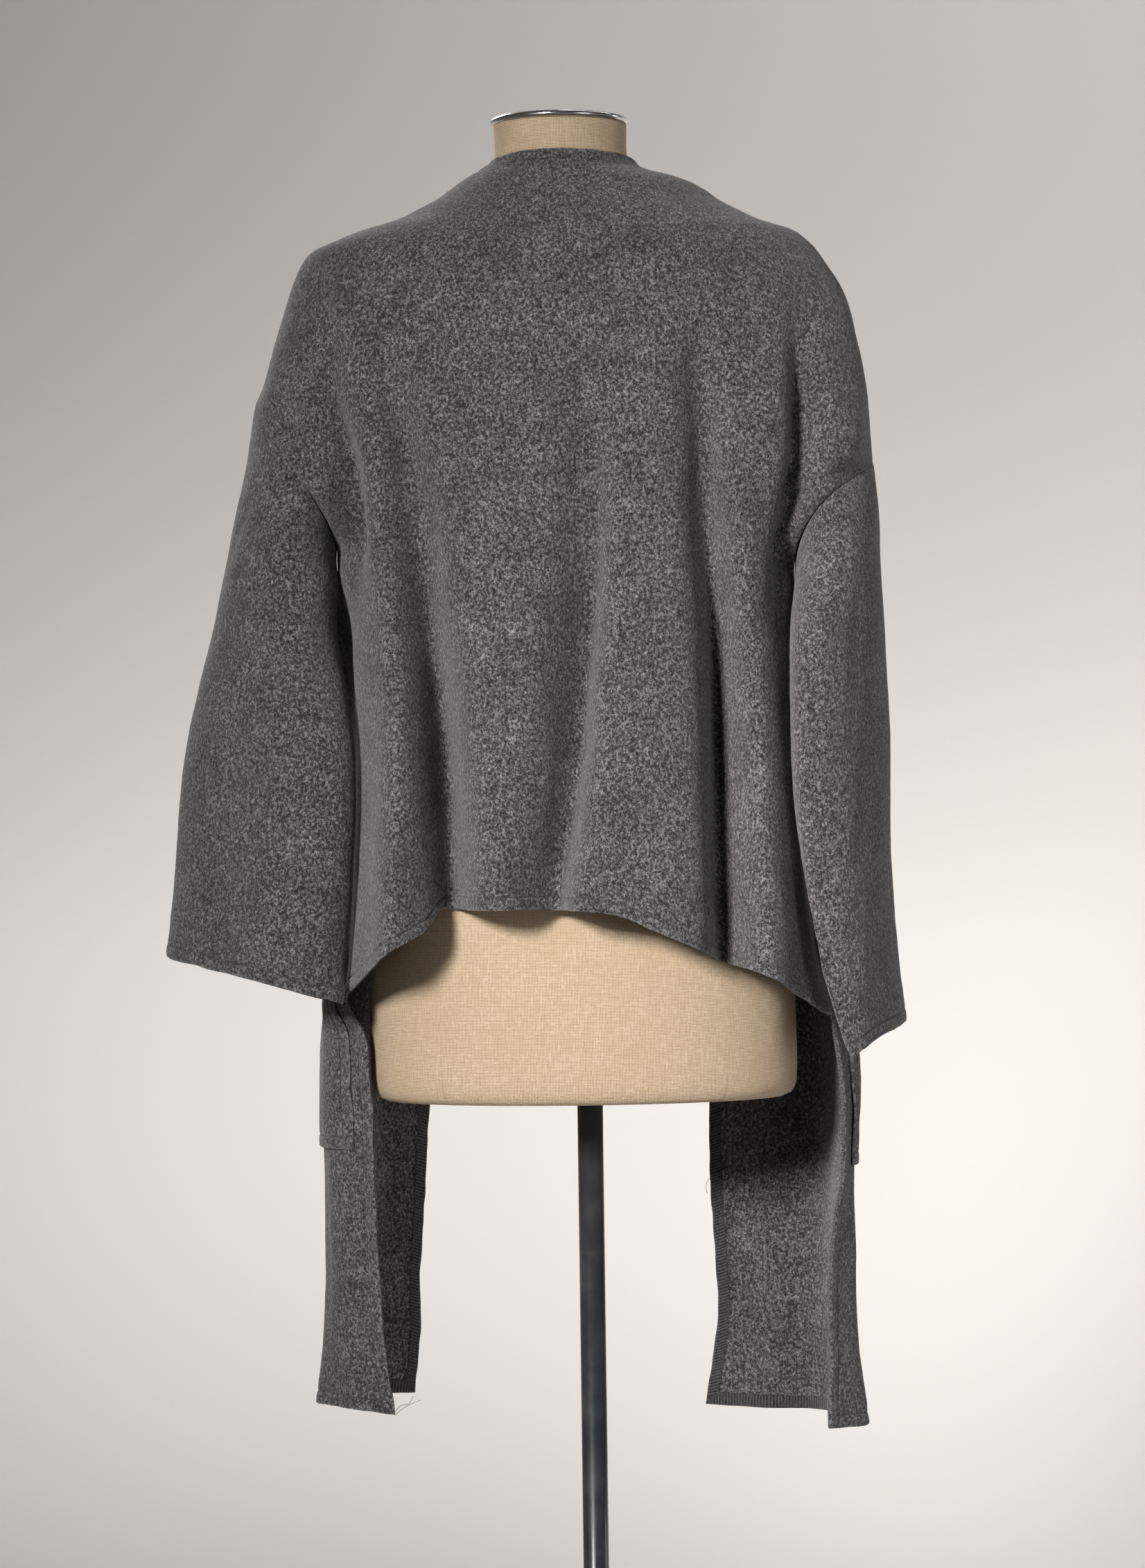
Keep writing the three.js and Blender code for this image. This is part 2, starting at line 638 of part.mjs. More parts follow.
// Moves an edge of a piece back from its seam by half of the gap, square to the seam.
function inset(edge, inside) {
  const moved = edge.map(({ point, normal }, i) => {
    const before = edge[Math.max(0, i - 1)].point;
    const after = edge[Math.min(edge.length - 1, i + 1)].point;
    const along = after.clone().sub(before).normalize();
    const aside = along.cross(normal).normalize();
    if (aside.dot(inside[i].point.clone().sub(point)) < 0) aside.negate();
    return point.clone().addScaledVector(aside, SEAM_GAP / 2);
  });
  edge.forEach((corner, i) => {
    corner.point = moved[i];
  });
}

const backNormal = (t, z) => normalAt(backPoint, clamp(t, -0.995, 0.995), z, 1);
const frontNormal = (side, t, z) =>
  normalAt((u, v) => frontPoint(side, u, v), clamp(t, 0.006, 0.994), z, side === "left" ? -1 : 1);
const sleeveNormal = (side, degrees, z) =>
  normalAt((u, v) => sleevePoint(side, u * 100, v), degrees / 100, z, side === "left" ? 1 : -1);

// Two pieces that meet nearly flat share one normal, so that their walls stay parallel.
function shared(own, other) {
  const weight = ease((own.dot(other) - 0.1) / 0.5);
  return own.clone().addScaledVector(other, weight).normalize();
}

function seamNormal(side, face, z) {
  const top = armholeTop(side);
  const bottom = armholeBottom(side);
  const end = side === "left" ? -1 : 1;
  const back = backNormal(end, z);
  const front = frontNormal(side, 0, z);
  if (z > top - 0.5 || z < bottom + 0.5) {
    return face === "back" ? shared(back, front) : shared(front, back);
  }
  const degrees = armholeDegrees(side, z);
  const own = face === "back" ? back : front;
  const round = face === "back" ? degrees : 360 - degrees;
  return shared(own, sleeveNormal(side, round, z));
}

// Levels down one side of the body: shoulder, armhole, side seam.
function bodyLevels(side) {
  const armhole = [];
  for (let i = 1; i < HALF_RING; i += 1) armhole.push(armholeZ(side, (180 * i) / HALF_RING));
  return [...UPPER_LEVELS[side], ...armhole, ...SIDE_LEVELS[side]];
}

// ---- Back ----

// Columns follow the folds: each guide runs down a fold, with this many columns to the next.
const GUIDES = [
  { fold: null, columns: 5 },
  { fold: 0, columns: 6 },
  { fold: 1, columns: 9 },
  { fold: 3, columns: 11 },
  { fold: 4, columns: 7 },
  { fold: 6, columns: 5 },
];
const CROWD = 0.5;

function shareOfX(x, z) {
  let low = -1;
  let high = 1;
  for (let i = 0; i < 30; i += 1) {
    const t = (low + high) / 2;
    if (backBase(t, z).x < x) low = t;
    else high = t;
  }
  return (low + high) / 2;
}

function backColumns(z) {
  const level = Math.min(z, FOLD_TOP_Z);
  const stops = GUIDES.map(({ fold }) =>
    fold === null ? -1 : shareOfX(backFolds[fold](level, "x"), level),
  );
  stops.push(1);
  const shares = [];
  GUIDES.forEach(({ columns }, g) => {
    for (let i = 0; i < columns; i += 1) {
      const s = i / columns;
      const crowded = s - (CROWD * Math.sin(2 * Math.PI * s)) / (2 * Math.PI);
      shares.push(mix(stops[g], stops[g + 1], crowded));
    }
  });
  shares.push(1);
  return shares;
}

function backRows() {
  const left = bodyLevels("left");
  const right = bodyLevels("right");
  const sideStart = left.length - SIDE_LEVELS.left.length;
  return left.map((zLeft, r) => {
    const zRight = right[r];
    const middle = (zLeft + zRight) / 2;
    return backColumns(middle).map((t) => {
      const share = (t + 1) / 2;
      let z = mix(zLeft, zRight, share);
      if (r > sideStart) {
        const top = mix(left[sideStart], right[sideStart], share);
        const fall = (start, level, corner) => (start - level) / (start - corner);
        const down = mix(
          fall(left[sideStart], zLeft, left[left.length - 1]),
          fall(right[sideStart], zRight, right[right.length - 1]),
          share,
        );
        const hem = BACK_HEM(backBase(t, 880).x, "z");
        z = mix(top, hem, down);
        if (t === -1) z = zLeft;
        if (t === 1) z = zRight;
      }
      if (r === 0) z += NECK_BACK_RISE * (1 - t * t);
      const end = Math.abs(t) === 1 ? (t < 0 ? "left" : "right") : null;
      return {
        point: backPoint(t, z),
        normal: end ? seamNormal(end, "back", z) : backNormal(t, z),
      };
    });
  });
}

function insetColumn(rows, column, inner, until = rows.length) {
  inset(
    rows.slice(0, until).map((row) => row[column]),
    rows.slice(0, until).map((row) => row[inner]),
  );
}

const back = backRows();
const backLast = back[0].length - 1;
insetColumn(back, 0, 1);
insetColumn(back, backLast, backLast - 1);

// ---- Front panels ----
function frontRows(side) {
  const body = bodyLevels(side);
  const levels = [...body, ...PANEL_LEVELS[side].slice(1)];
  const upper = UPPER_LEVELS[side].length - 1;
  const bottom = PANEL_BOTTOM[side];
  return levels.map((zSeam, r) => {
    const row = [];
    for (let c = 0; c <= PANEL_COLUMNS; c += 1) {
      const t = c === 0 ? 0 : mix(FIRST_COLUMN, 1, (c - 1) / (PANEL_COLUMNS - 1));
      let z = zSeam;
      if (r < upper) {
        const drop = (NECK_Z - FRONT_NECK_Z) * (1 - r / upper);
        z = zSeam - drop * ease(t);
      }
      if (r === levels.length - 1) {
        const low = t < 0.3;
        z = low ? mix(bottom.back, bottom.fold, t / 0.3) : mix(bottom.fold, bottom.edge, (t - 0.3) / 0.7);
      }
      const onSeam = c === 0 && r < body.length;
      row.push({
        point: frontPoint(side, t, z),
        normal: onSeam ? seamNormal(side, "front", z) : frontNormal(side, t, z),
      });
    }
    return row;
  });
}

const front = { left: frontRows("left"), right: frontRows("right") };
const seamRows = bodyLevels("left").length;

// ---- Pockets lie on the panels and copy their points ----
function pocketRows(side) {
  const { first, last, top, bottom } = POCKET[side];
  const levels = [...bodyLevels(side), ...PANEL_LEVELS[side].slice(1)];
  return front[side]
    .filter((row, r) => levels[r] <= top && levels[r] >= bottom)
    .map((row) => row.slice(first, last + 1));
}

const pocket = { left: pocketRows("left"), right: pocketRows("right") };
insetColumn(front.left, 0, 1, seamRows);
insetColumn(front.right, 0, 1, seamRows);

// ---- Sleeves ----
const SLEEVE_ROWS = 12;

function sleeveRows(side) {
  const around = 2 * HALF_RING;
  const rows = [];
  for (let r = 0; r <= SLEEVE_ROWS; r += 1) {
    const row = [];
    for (let c = 0; c < around; c += 1) {
      const degrees = (360 * c) / around;
      const z = mix(armholeZ(side, degrees), CUFF[side](degrees, "z"), r / SLEEVE_ROWS);
      let normal = sleeveNormal(side, degrees, z);
      if (r === 0) {
        const face = degrees <= 180 ? "back" : "front";
        const end = side === "left" ? -1 : 1;
        const body = face === "back" ? backNormal(end, z) : frontNormal(side, 0, z);
        normal = shared(normal, body);
      }
      row.push({ point: sleevePoint(side, degrees, z), normal });
    }
    rows.push(row);
  }
  const ring = rows[0];
  const closed = [...ring, ring[0]];
  const moved = ring.map(({ point, normal }, i) => {
    const before = closed[(i + around - 1) % around].point;
    const along = closed[i + 1].point.clone().sub(before).normalize();
    const aside = along.cross(normal).normalize();
    if (aside.dot(rows[1][i].point.clone().sub(point)) < 0) aside.negate();
    return point.clone().addScaledVector(aside, SEAM_GAP / 2);
  });
  ring.forEach((corner, i) => {
    corner.point = moved[i];
  });
  return rows;
}

// ---- Dress form ----
function formRing(z) {
  const lean =
    (z - FORM_LEAN.low_z) / (FORM_LEAN.high_z - FORM_LEAN.low_z);
  const centre = mix(FORM_LEAN.low_x, FORM_LEAN.high_x, lean);
  const square = FORM(z, "square");
  const ring = [];
  for (let i = 0; i < FORM_SEGMENTS; i += 1) {
    const angle = (2 * Math.PI * i) / FORM_SEGMENTS;
    const reach =
      (Math.abs(Math.sin(angle)) ** square + Math.abs(Math.cos(angle)) ** square) **
      (-1 / square);
    const across = reach * Math.cos(angle);
    const forward = reach * Math.sin(angle);
    const depth = FORM(z, forward < 0 ? "back" : "front");
    ring.push(
      new THREE.Vector3(centre + FORM(z, "half_width") * across, depth * forward, z),
    );
  }
  return ring;
}

function loftGeometry(rings) {
  const positions = [];
  const triangle = (...points) => {
    for (const p of points) positions.push(p.x, p.y, p.z);
  };
  const count = rings[0].length;
  const middleOf = (ring) =>
    ring.reduce((sum, p) => sum.add(p), new THREE.Vector3()).divideScalar(count);
  const bottom = middleOf(rings[0]);
  const top = middleOf(rings[rings.length - 1]);
  for (let c = 0; c < count; c += 1) {
    const n = (c + 1) % count;
    for (let r = 0; r + 1 < rings.length; r += 1) {
      triangle(rings[r][c], rings[r][n], rings[r + 1][n]);
      triangle(rings[r][c], rings[r + 1][n], rings[r + 1][c]);
    }
    triangle(bottom, rings[0][n], rings[0][c]);
    triangle(top, rings[rings.length - 1][c], rings[rings.length - 1][n]);
  }
  return new THREE.BufferGeometry().setAttribute(
    "position",
    new THREE.Float32BufferAttribute(positions, 3),
  );
}

// A turned part whose profile is [radius, height] pairs from the axis back to the axis.
function turned(profile, segments) {
  const points = profile.map(([radius, height]) => new THREE.Vector2(radius, height));
  return new THREE.LatheGeometry(points, segments).rotateX(Math.PI / 2);
}

// ---- Materials ----
const wool = new THREE.MeshStandardMaterial({ color: 0x4a4b4d, roughness: 0.95, metalness: 0 });
const linen = new THREE.MeshStandardMaterial({ color: 0xc2a987, roughness: 0.9, metalness: 0 });
const steel = new THREE.MeshStandardMaterial({ color: 0xb9bbbd, roughness: 0.25, metalness: 1 });
const painted = new THREE.MeshStandardMaterial({
  color: 0x23282e,
  roughness: 0.45,
  metalness: 0.3,
});

const group = new THREE.Group();
function add(name, geometry, material, place = [0, 0, 0]) {
  const mesh = new THREE.Mesh(geometry, material);
  mesh.name = name;
  mesh.position.set(...place);
  group.add(mesh);
}

add("back", wallGeometry(back, false), wool);
add("front_left", wallGeometry(front.left, false), wool);
add("front_right", wallGeometry(front.right, false), wool);
add("sleeve_left", wallGeometry(sleeveRows("left"), true), wool);
add("sleeve_right", wallGeometry(sleeveRows("right"), true), wool);
add("pocket_left", wallGeometry(pocket.left, false, POCKET_LIFT), wool);
add("pocket_right", wallGeometry(pocket.right, false, POCKET_LIFT), wool);

add("form_torso", loftGeometry(FORM_LEVELS.map(formRing)), linen);
const capProfile = [
  [0, 0],
  [NECK_RADIUS - 0.5, 0],
  [NECK_RADIUS + 0.5, 1],
  [NECK_RADIUS + 0.5, CAP_HEIGHT - 1.2],
  [NECK_RADIUS - 1, CAP_HEIGHT],
  [NECK_RADIUS - 5, CAP_HEIGHT - 0.6],
  [0, CAP_HEIGHT],
];
add("form_neck_cap", turned(capProfile, 40), steel, [
  FORM_LEAN.high_x,
  0,
  FORM_TOP_Z + CAP_GAP,
]);
const poleTop = FORM_BOTTOM_Z - CAP_GAP;
const poleBottom = HUB_TOP_Z + CAP_GAP;
const poleProfile = [
  [0, 0],
  [POLE_RADIUS, 0],
  [POLE_RADIUS, poleTop - poleBottom],
  [0, poleTop - poleBottom],
];
add("form_pole", turned(poleProfile, 32), painted, [0, 0, poleBottom]);
const baseProfile = [
  [0, 0],
  [BASE_RADIUS - 2, 0],
  [BASE_RADIUS, 2],
  [BASE_RADIUS, BASE_EDGE - 3],
  [BASE_RADIUS - 3, BASE_EDGE],
  [HUB_RADIUS + 14, BASE_EDGE + 4],
  [HUB_RADIUS + 2, BASE_EDGE + 9],
  [HUB_RADIUS, BASE_EDGE + 14],
  [HUB_RADIUS, HUB_TOP_Z - 2],
  [HUB_RADIUS - 2, HUB_TOP_Z],
  [0, HUB_TOP_Z],
];
add("form_base", turned(baseProfile, 56), painted);

export default group;
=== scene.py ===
import itertools
import math

import bpy
import numpy as np
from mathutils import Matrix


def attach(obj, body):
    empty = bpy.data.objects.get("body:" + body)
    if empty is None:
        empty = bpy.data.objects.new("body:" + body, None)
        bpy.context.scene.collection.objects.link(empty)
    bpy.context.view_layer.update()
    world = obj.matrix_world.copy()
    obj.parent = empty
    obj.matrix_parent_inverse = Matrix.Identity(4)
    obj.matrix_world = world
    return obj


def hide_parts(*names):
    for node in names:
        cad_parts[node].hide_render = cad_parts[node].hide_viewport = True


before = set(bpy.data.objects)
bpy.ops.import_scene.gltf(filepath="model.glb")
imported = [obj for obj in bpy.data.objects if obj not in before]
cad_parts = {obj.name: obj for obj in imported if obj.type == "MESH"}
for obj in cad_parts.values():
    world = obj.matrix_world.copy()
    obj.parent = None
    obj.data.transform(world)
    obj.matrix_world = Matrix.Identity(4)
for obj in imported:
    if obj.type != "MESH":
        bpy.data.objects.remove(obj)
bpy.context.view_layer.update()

# A knit cardigan worn by a limbless dress form. Tables and surfaces are in millimetres, as in a
# pattern, and MM turns them into metres. +X is the wearer's right, +Y the wearer's front.

MM = 0.001

# ---- Sizes ----
WALL = 2.6  # thickness of the boiled wool
POCKET_LIFT = 0.35  # between a pocket and its panel
HEM = 10.5  # the stitch line's distance from a turned edge
NECK_Z = 1526
NECK_BACK_RISE = 7  # of the neckline's middle over its ends
FRONT_NECK_Z = 1515  # where the front edges meet the neckline
HALF_RING = 10  # levels from the top of an armhole to its underarm, counted in steps
STEP = 3.1  # usual spacing of the mesh lines on the cloth
BACK_CENTRE_X = -13
TURN_STRIP = 0.24  # the part of the back's half width in which it turns to its seam
CALM_STRIP = {"back": 0.06, "front": 0.08}  # folds fade out in this share of a width at a seam
UNDERARM_BLEND = 60  # height in which a side seam leaves the sleeve's end
# Distances of the first mesh lines from a turned edge, and from a seam.
HEM_LINES = np.array([0, 0.25, 0.8, 1.5, 2.6, 4.5, 7, 8.8, 9.8, 10.3, 10.8, 11.4, 12.6, 15])
SEAM_LINES = np.array([0.25, 0.6, 1.2, 2.2])

FORM_TOP_Z = 1558.6
FORM_BOTTOM_Z = 760
NECK_RADIUS = 54.5
FORM_LEAN = {"low_x": -4, "high_x": -14, "low_z": 760, "high_z": 1564}
POLE_RADIUS = 10.5
BASE_RADIUS = 180
BASE_EDGE = 9
HUB_RADIUS = 19
HUB_TOP_Z = 46
JOINT_GAP = 0.4  # between the pieces of the form


# ---- Tables ----
def hermite(u, a, b, slope_a, slope_b):
    """Smooth curve from a to b as u goes from 0 to 1, with the slopes at its two ends."""
    return (
        (2 * u**3 - 3 * u**2 + 1) * a
        + (u**3 - 2 * u**2 + u) * slope_a
        + (3 * u**2 - 2 * u**3) * b
        + (u**3 - u**2) * slope_b
    )


class Table:
    """Smooth curves through the rows of a table, by its first column."""

    def __init__(self, columns, rows):
        self.columns = columns.split()
        self.rows = np.array(sorted(rows), float)
        keys = self.rows[:, 0]
        low = np.maximum(np.arange(len(keys)) - 1, 0)
        high = np.minimum(np.arange(len(keys)) + 1, len(keys) - 1)
        self.slopes = (self.rows[high] - self.rows[low]) / (keys[high] - keys[low])[:, None]

    def __call__(self, key, name):
        column = self.columns.index(name)
        keys = self.rows[:, 0]
        key = np.clip(np.asarray(key, float), keys[0], keys[-1])
        i = np.clip(np.searchsorted(keys, key) - 1, 0, len(keys) - 2)
        height = keys[i + 1] - keys[i]
        u = (key - keys[i]) / height
        a, b = self.rows[i, column], self.rows[i + 1, column]
        slope_a, slope_b = self.slopes[i, column], self.slopes[i + 1, column]
        return hermite(u, a, b, height * slope_a, height * slope_b)


def tables(columns, **pieces):
    """A table for each piece."""
    return {name: Table(columns, rows) for name, rows in pieces.items()}


def records(columns, **pieces):
    """The rows of each piece as dictionaries."""
    return {
        name: [dict(zip(columns.split(), row)) for row in rows] for name, rows in pieces.items()
    }


SHOULDER = tables("z x y", left=[
    [1333, -267, 0], [1346, -261, 0], [1368, -254, 0], [1391, -247, 0], [1431, -234, 0], [1448, -226, 0],
    [1457, -218, 0], [1465, -199, 0], [1473, -178, 0], [1481, -151, 0], [1490, -133, 0], [1498, -117, 0],
    [1506, -105, 1], [1514, -94, 2], [1521, -82, 3], [1526, -74, 3],
], right=[
    [1278, 240, 0], [1317, 237, 0], [1339, 235, 0], [1362, 231, 0], [1385, 226, 0], [1408, 221, 0],
    [1425, 214, 0], [1442, 203, 0], [1451, 197, 0], [1459, 190, 0], [1469, 176, 0], [1477, 152, 0],
    [1486, 133, 0], [1494, 117, 0], [1504, 104, 1], [1512, 88, 2], [1521, 54, 3], [1526, 48, 3],
])

SIDE = tables("z x y", left=[
    [842, -199, -40], [863, -196, -40], [900, -192, -38], [950, -189, -35], [1035, -186, -30],
    [1100, -187, -25], [1150, -190, -20], [1208, -203, -15],
], right=[
    [816, 202, -30], [860, 189, -35], [900, 180, -37], [943, 172, -39], [1000, 168, -40], [1100, 167, -40],
    [1140, 168, -41], [1190, 172, -42],
])

BACK = Table("z depth square_left square_right", [
    [818, -182, 2.3, 2.0], [918, -177, 2.2, 2.0], [1000, -165, 2.15, 2.0], [1100, -147, 2.2, 2.0],
    [1205, -133, 2.3, 2.2], [1270, -127, 2.3, 2.3], [1330, -125, 2.4, 2.4], [1380, -120, 2.4, 2.4],
    [1420, -112, 2.3, 2.3], [1454, -103, 2.2, 2.2], [1479, -91, 2.1, 2.1], [1496, -81, 2.0, 2.0],
    [1513, -70, 2.0, 2.0], [1533, -59, 2.0, 2.0],
])

BACK_TURN = tables("z y degrees", left=[
    [1150, -20, 90], [1208, -15, 90], [1235, -46, 80], [1262, -62, 66], [1295, -52, 68], [1329, -32, 82],
    [1365, -12, 90], [1420, 0, 90],
], right=[
    [1145, -41, 90], [1190, -44, 90], [1215, -62, 80], [1238, -72, 66], [1262, -66, 68], [1281, -55, 78],
    [1320, -32, 88], [1360, -14, 90], [1420, 0, 90],
])

BACK_HEM_MIDDLE_Z = 880.0  # the height at which the hem's x is read
BACK_HEM = Table("x z", [
    [-199, 842], [-190, 853], [-165, 875], [-148, 888], [-137, 897], [-131, 902], [-126, 916], [-118, 918],
    [-100, 918], [-20, 917], [15, 915], [38, 908], [50, 902], [67, 895], [92, 883], [119, 871], [141, 859],
    [161, 844], [179, 830], [202, 816],
])

SLEEVE = tables("z outer inner middle_y half_depth skew", left=[
    [832, -350, -198, -46, 45, 36], [877, -346, -195, -45, 46, 37], [932, -340, -189, -43, 48, 38],
    [1000, -334, -185, -40, 50, 37], [1046, -329, -186, -37, 52, 35], [1092, -319, -193, -30, 56, 29],
    [1150, -304, -201.2, -17, 64, 18], [1182, -297.5, -199.6, -12, 68.5, 13],
    [1208, -292, -201.4, -7, 72, 9], [1267, -278.5, -194, -3, 76, 4], [1333, -267, -170, -2, 78, 2],
], right=[
    [798, 262, 180, -46, 54, 44], [864, 256, 176, -46, 53, 45], [943, 251, 173, -46, 52, 46],
    [1000, 250.5, 167, -46, 52, 46], [1046, 250.5, 165, -46, 53, 45], [1137, 247, 165.5, -43, 60, 39],
    [1190, 244, 172, -27, 69, 17], [1240, 243, 168, -14, 70, 8], [1278, 240, 150, -2, 70, 2],
])

ARMHOLE = tables("degrees z", left=[
    [0, 1333], [30, 1321], [60, 1300], [90, 1276], [120, 1252], [150, 1229], [180, 1208],
], right=[
    [0, 1278], [30, 1272], [60, 1262], [90, 1250], [120, 1234], [150, 1214], [180, 1190],
])

CUFF = tables("degrees z", left=[
    [0, 881], [45, 875], [60, 871], [90, 863], [112, 856], [130, 851], [150, 846], [180, 842], [225, 846],
    [270, 858], [315, 873], [360, 881],
], right=[
    [0, 820], [60, 812], [90, 802], [108, 798], [126, 836], [144, 884], [162, 928], [180, 948], [216, 950],
    [252, 920], [288, 875], [324, 838], [360, 820],
])

# Folds that grow from nothing at the top to their full depth: at is a place around the sleeve in
# degrees, or across a front as a share of its width.
FOLD = "at width depth top full"
SLEEVE_FOLDS = records(FOLD, left=[
    [66, 22, 9, 1300, 900], [118, 18, 5, 1180, 880], [232, 26, 8, 1250, 900], [300, 24, 7, 1260, 880],
], right=[
    [84, 16, -4, 1240, 960], [128, 16, 5, 1200, 950], [318, 26, 8, 1220, 900],
])

FRONT = tables("z ridge back_x back_y fold_x fold_y middle_x middle_y edge_x edge_y", left=[
    [505, 0, -162, -48, -230, -5, -200, 68, -151, 106], [553, 0, -169, -46, -225, -5, -198, 69, -147, 108],
    [607, 0, -174, -45, -222, -5, -197, 70, -146, 110], [700, 0, -177, -46, -223, -5, -196, 72, -140, 112],
    [770, 0, -179, -46, -223, -4, -195, 76, -135, 116],
    [815, 0.2, -184, -44, -222, 6, -193, 82, -132, 120],
    [842, 0.3, -199, -40, -221, 14, -190, 86, -130, 123],
    [900, 0.6, -192, -38, -212, 22, -182, 94, -122, 131],
    [1000, 0.8, -186, -32, -204, 30, -175, 101, -112, 141],
    [1060, 0.8, -186, -28, -203, 33, -171, 104, -108, 145],
    [1100, 0.8, -187, -25, -208, 32, -171, 105, -106, 147],
    [1140, 0.8, -189, -21, -213, 33, -172, 107, -104, 149],
    [1176, 0.8, -195, -18, -208, 35, -170, 109, -102, 150],
    [1208, 0.6, -203, -15, -198, 40, -165, 111, -100, 150],
    [1270, 0, -236, 70, -205, 88, -160, 119, -97, 149],
    [1333, 0.8, -267, 0, -245, 62, -172, 118, -92, 139], [1400, 1, -243, 0, -225, 60, -160, 106, -88, 116],
    [1445, 1, -226, 0, -208, 50, -150, 86, -84, 94], [1462, 1, -199, 0, -180, 44, -130, 73, -82, 82],
    [1479, 1, -151, 0, -137, 36, -112, 59, -80, 70], [1496, 1, -117, 0, -110, 28, -95, 47, -78, 58],
    [1513, 1, -94, 2, -91, 20, -84, 34, -73, 45], [1526, 1, -74, 3, -73, 14, -71, 22, -67, 31],
], right=[
    [488, 0, 193, -28, 228, 12, 181, 95, 95, 120], [545, 0, 194, -28, 221, 12, 180, 95, 104, 120],
    [575, 0, 194, -28, 219, 12, 180, 95, 107, 120], [613, 0, 194.5, -28, 218, 12, 180, 95, 105, 120],
    [670, 0, 202, -30, 217, 14, 182, 95, 102, 120], [704, 0, 207, -30, 218, 15, 183, 95, 101.5, 121],
    [727, 0, 209, -30, 219, 16, 183, 96, 101.5, 122], [784, 0, 205, -29, 221, 18, 183, 97, 101, 125],
    [816, 0.3, 202, -30, 216, 22, 180, 99, 98, 129], [860, 0.5, 187, -35, 204, 28, 174, 102, 94, 134],
    [900, 0.7, 178, -37, 194, 32, 168, 104, 90, 138], [943, 0.8, 176, -39, 187, 34, 162, 106, 87, 142],
    [1000, 0.8, 173, -40, 179, 36, 156, 108, 84, 146], [1100, 0.8, 171, -40, 174, 38, 150, 111, 78, 149],
    [1190, 0.6, 172, -42, 169, 40, 147, 113, 72, 151], [1240, 0, 205, 56, 180, 82, 138, 120, 69, 149],
    [1278, 0.8, 240, 0, 214, 64, 145, 121, 67, 146], [1329, 1, 236, 0, 214, 64, 140, 119, 64, 138],
    [1400, 1, 223, 0, 203, 60, 133, 106, 60, 116], [1445, 1, 203, 0, 183, 50, 123, 86, 56, 94],
    [1462, 1, 190, 0, 165, 44, 110, 73, 54, 82], [1479, 1, 152, 0, 130, 36, 92, 59, 52, 70],
    [1496, 1, 117, 0, 104, 28, 76, 47, 50, 58], [1512, 1, 88, 2, 79, 20, 62, 34, 46, 45],
    [1526, 1, 48, 3, 47, 14, 44, 22, 40, 31],
])

FRONT_FOLDS = records(FOLD, left=[
    [0.3, 0.1, 6, 1180, 900], [0.62, 0.11, 8, 1380, 1000], [0.83, 0.08, -6, 1420, 1000],
], right=[
    [0.34, 0.1, 5, 1180, 900], [0.58, 0.11, -7, 1380, 1000], [0.78, 0.09, 8, 1400, 1000],
])

PANEL_BOTTOM = {
    "left": {"back": 506, "fold": 511, "edge": 505},
    "right": {"back": 487, "fold": 485, "edge": 490},
}

POCKET = {"left": {"top": 890, "bottom": 721}, "right": {"top": 890, "bottom": 701}}
POCKET_FIRST = 0.08  # shares of the panel's width, at the same columns as in the solids
POCKET_LAST = POCKET_FIRST + 0.92 * 15 / 17

FORM = Table("z half_width back front square", [
    [760, 164, 113, 111, 2.1], [763, 170, 118, 116, 2.1], [772, 174, 122, 120, 2.1],
    [800, 175, 123, 121, 2.1], [860, 174, 122, 120, 2.1], [920, 167, 117, 116, 2.1],
    [980, 151, 107, 108, 2.1], [1040, 131, 96, 98, 2.1], [1070, 126, 93, 96, 2.1],
    [1120, 131, 95, 101, 2.1], [1180, 142, 98, 113, 2.1], [1240, 152, 101, 129, 2.1],
    [1270, 155, 103, 133, 2.1], [1320, 160, 106, 124, 2.2], [1370, 170, 106, 102, 2.2],
    [1410, 184, 98, 86, 2.2], [1438, 189, 86, 76, 2.1], [1454, 184, 76, 69, 2.0],
    [1467.2, 162, 66, 62, 2.0], [1477.8, 138, 62, 59, 2.0], [1490, 111, 60, 57, 2.0],
    [1503.5, 86, 58, 56, 2.0], [1513, 68, 56, 55, 2.0], [1522, 58, 55, 55, 2.0],
    [1530, 54.5, 54.5, 54.5, 2.0], [1558.6, 54.5, 54.5, 54.5, 2.0],
])

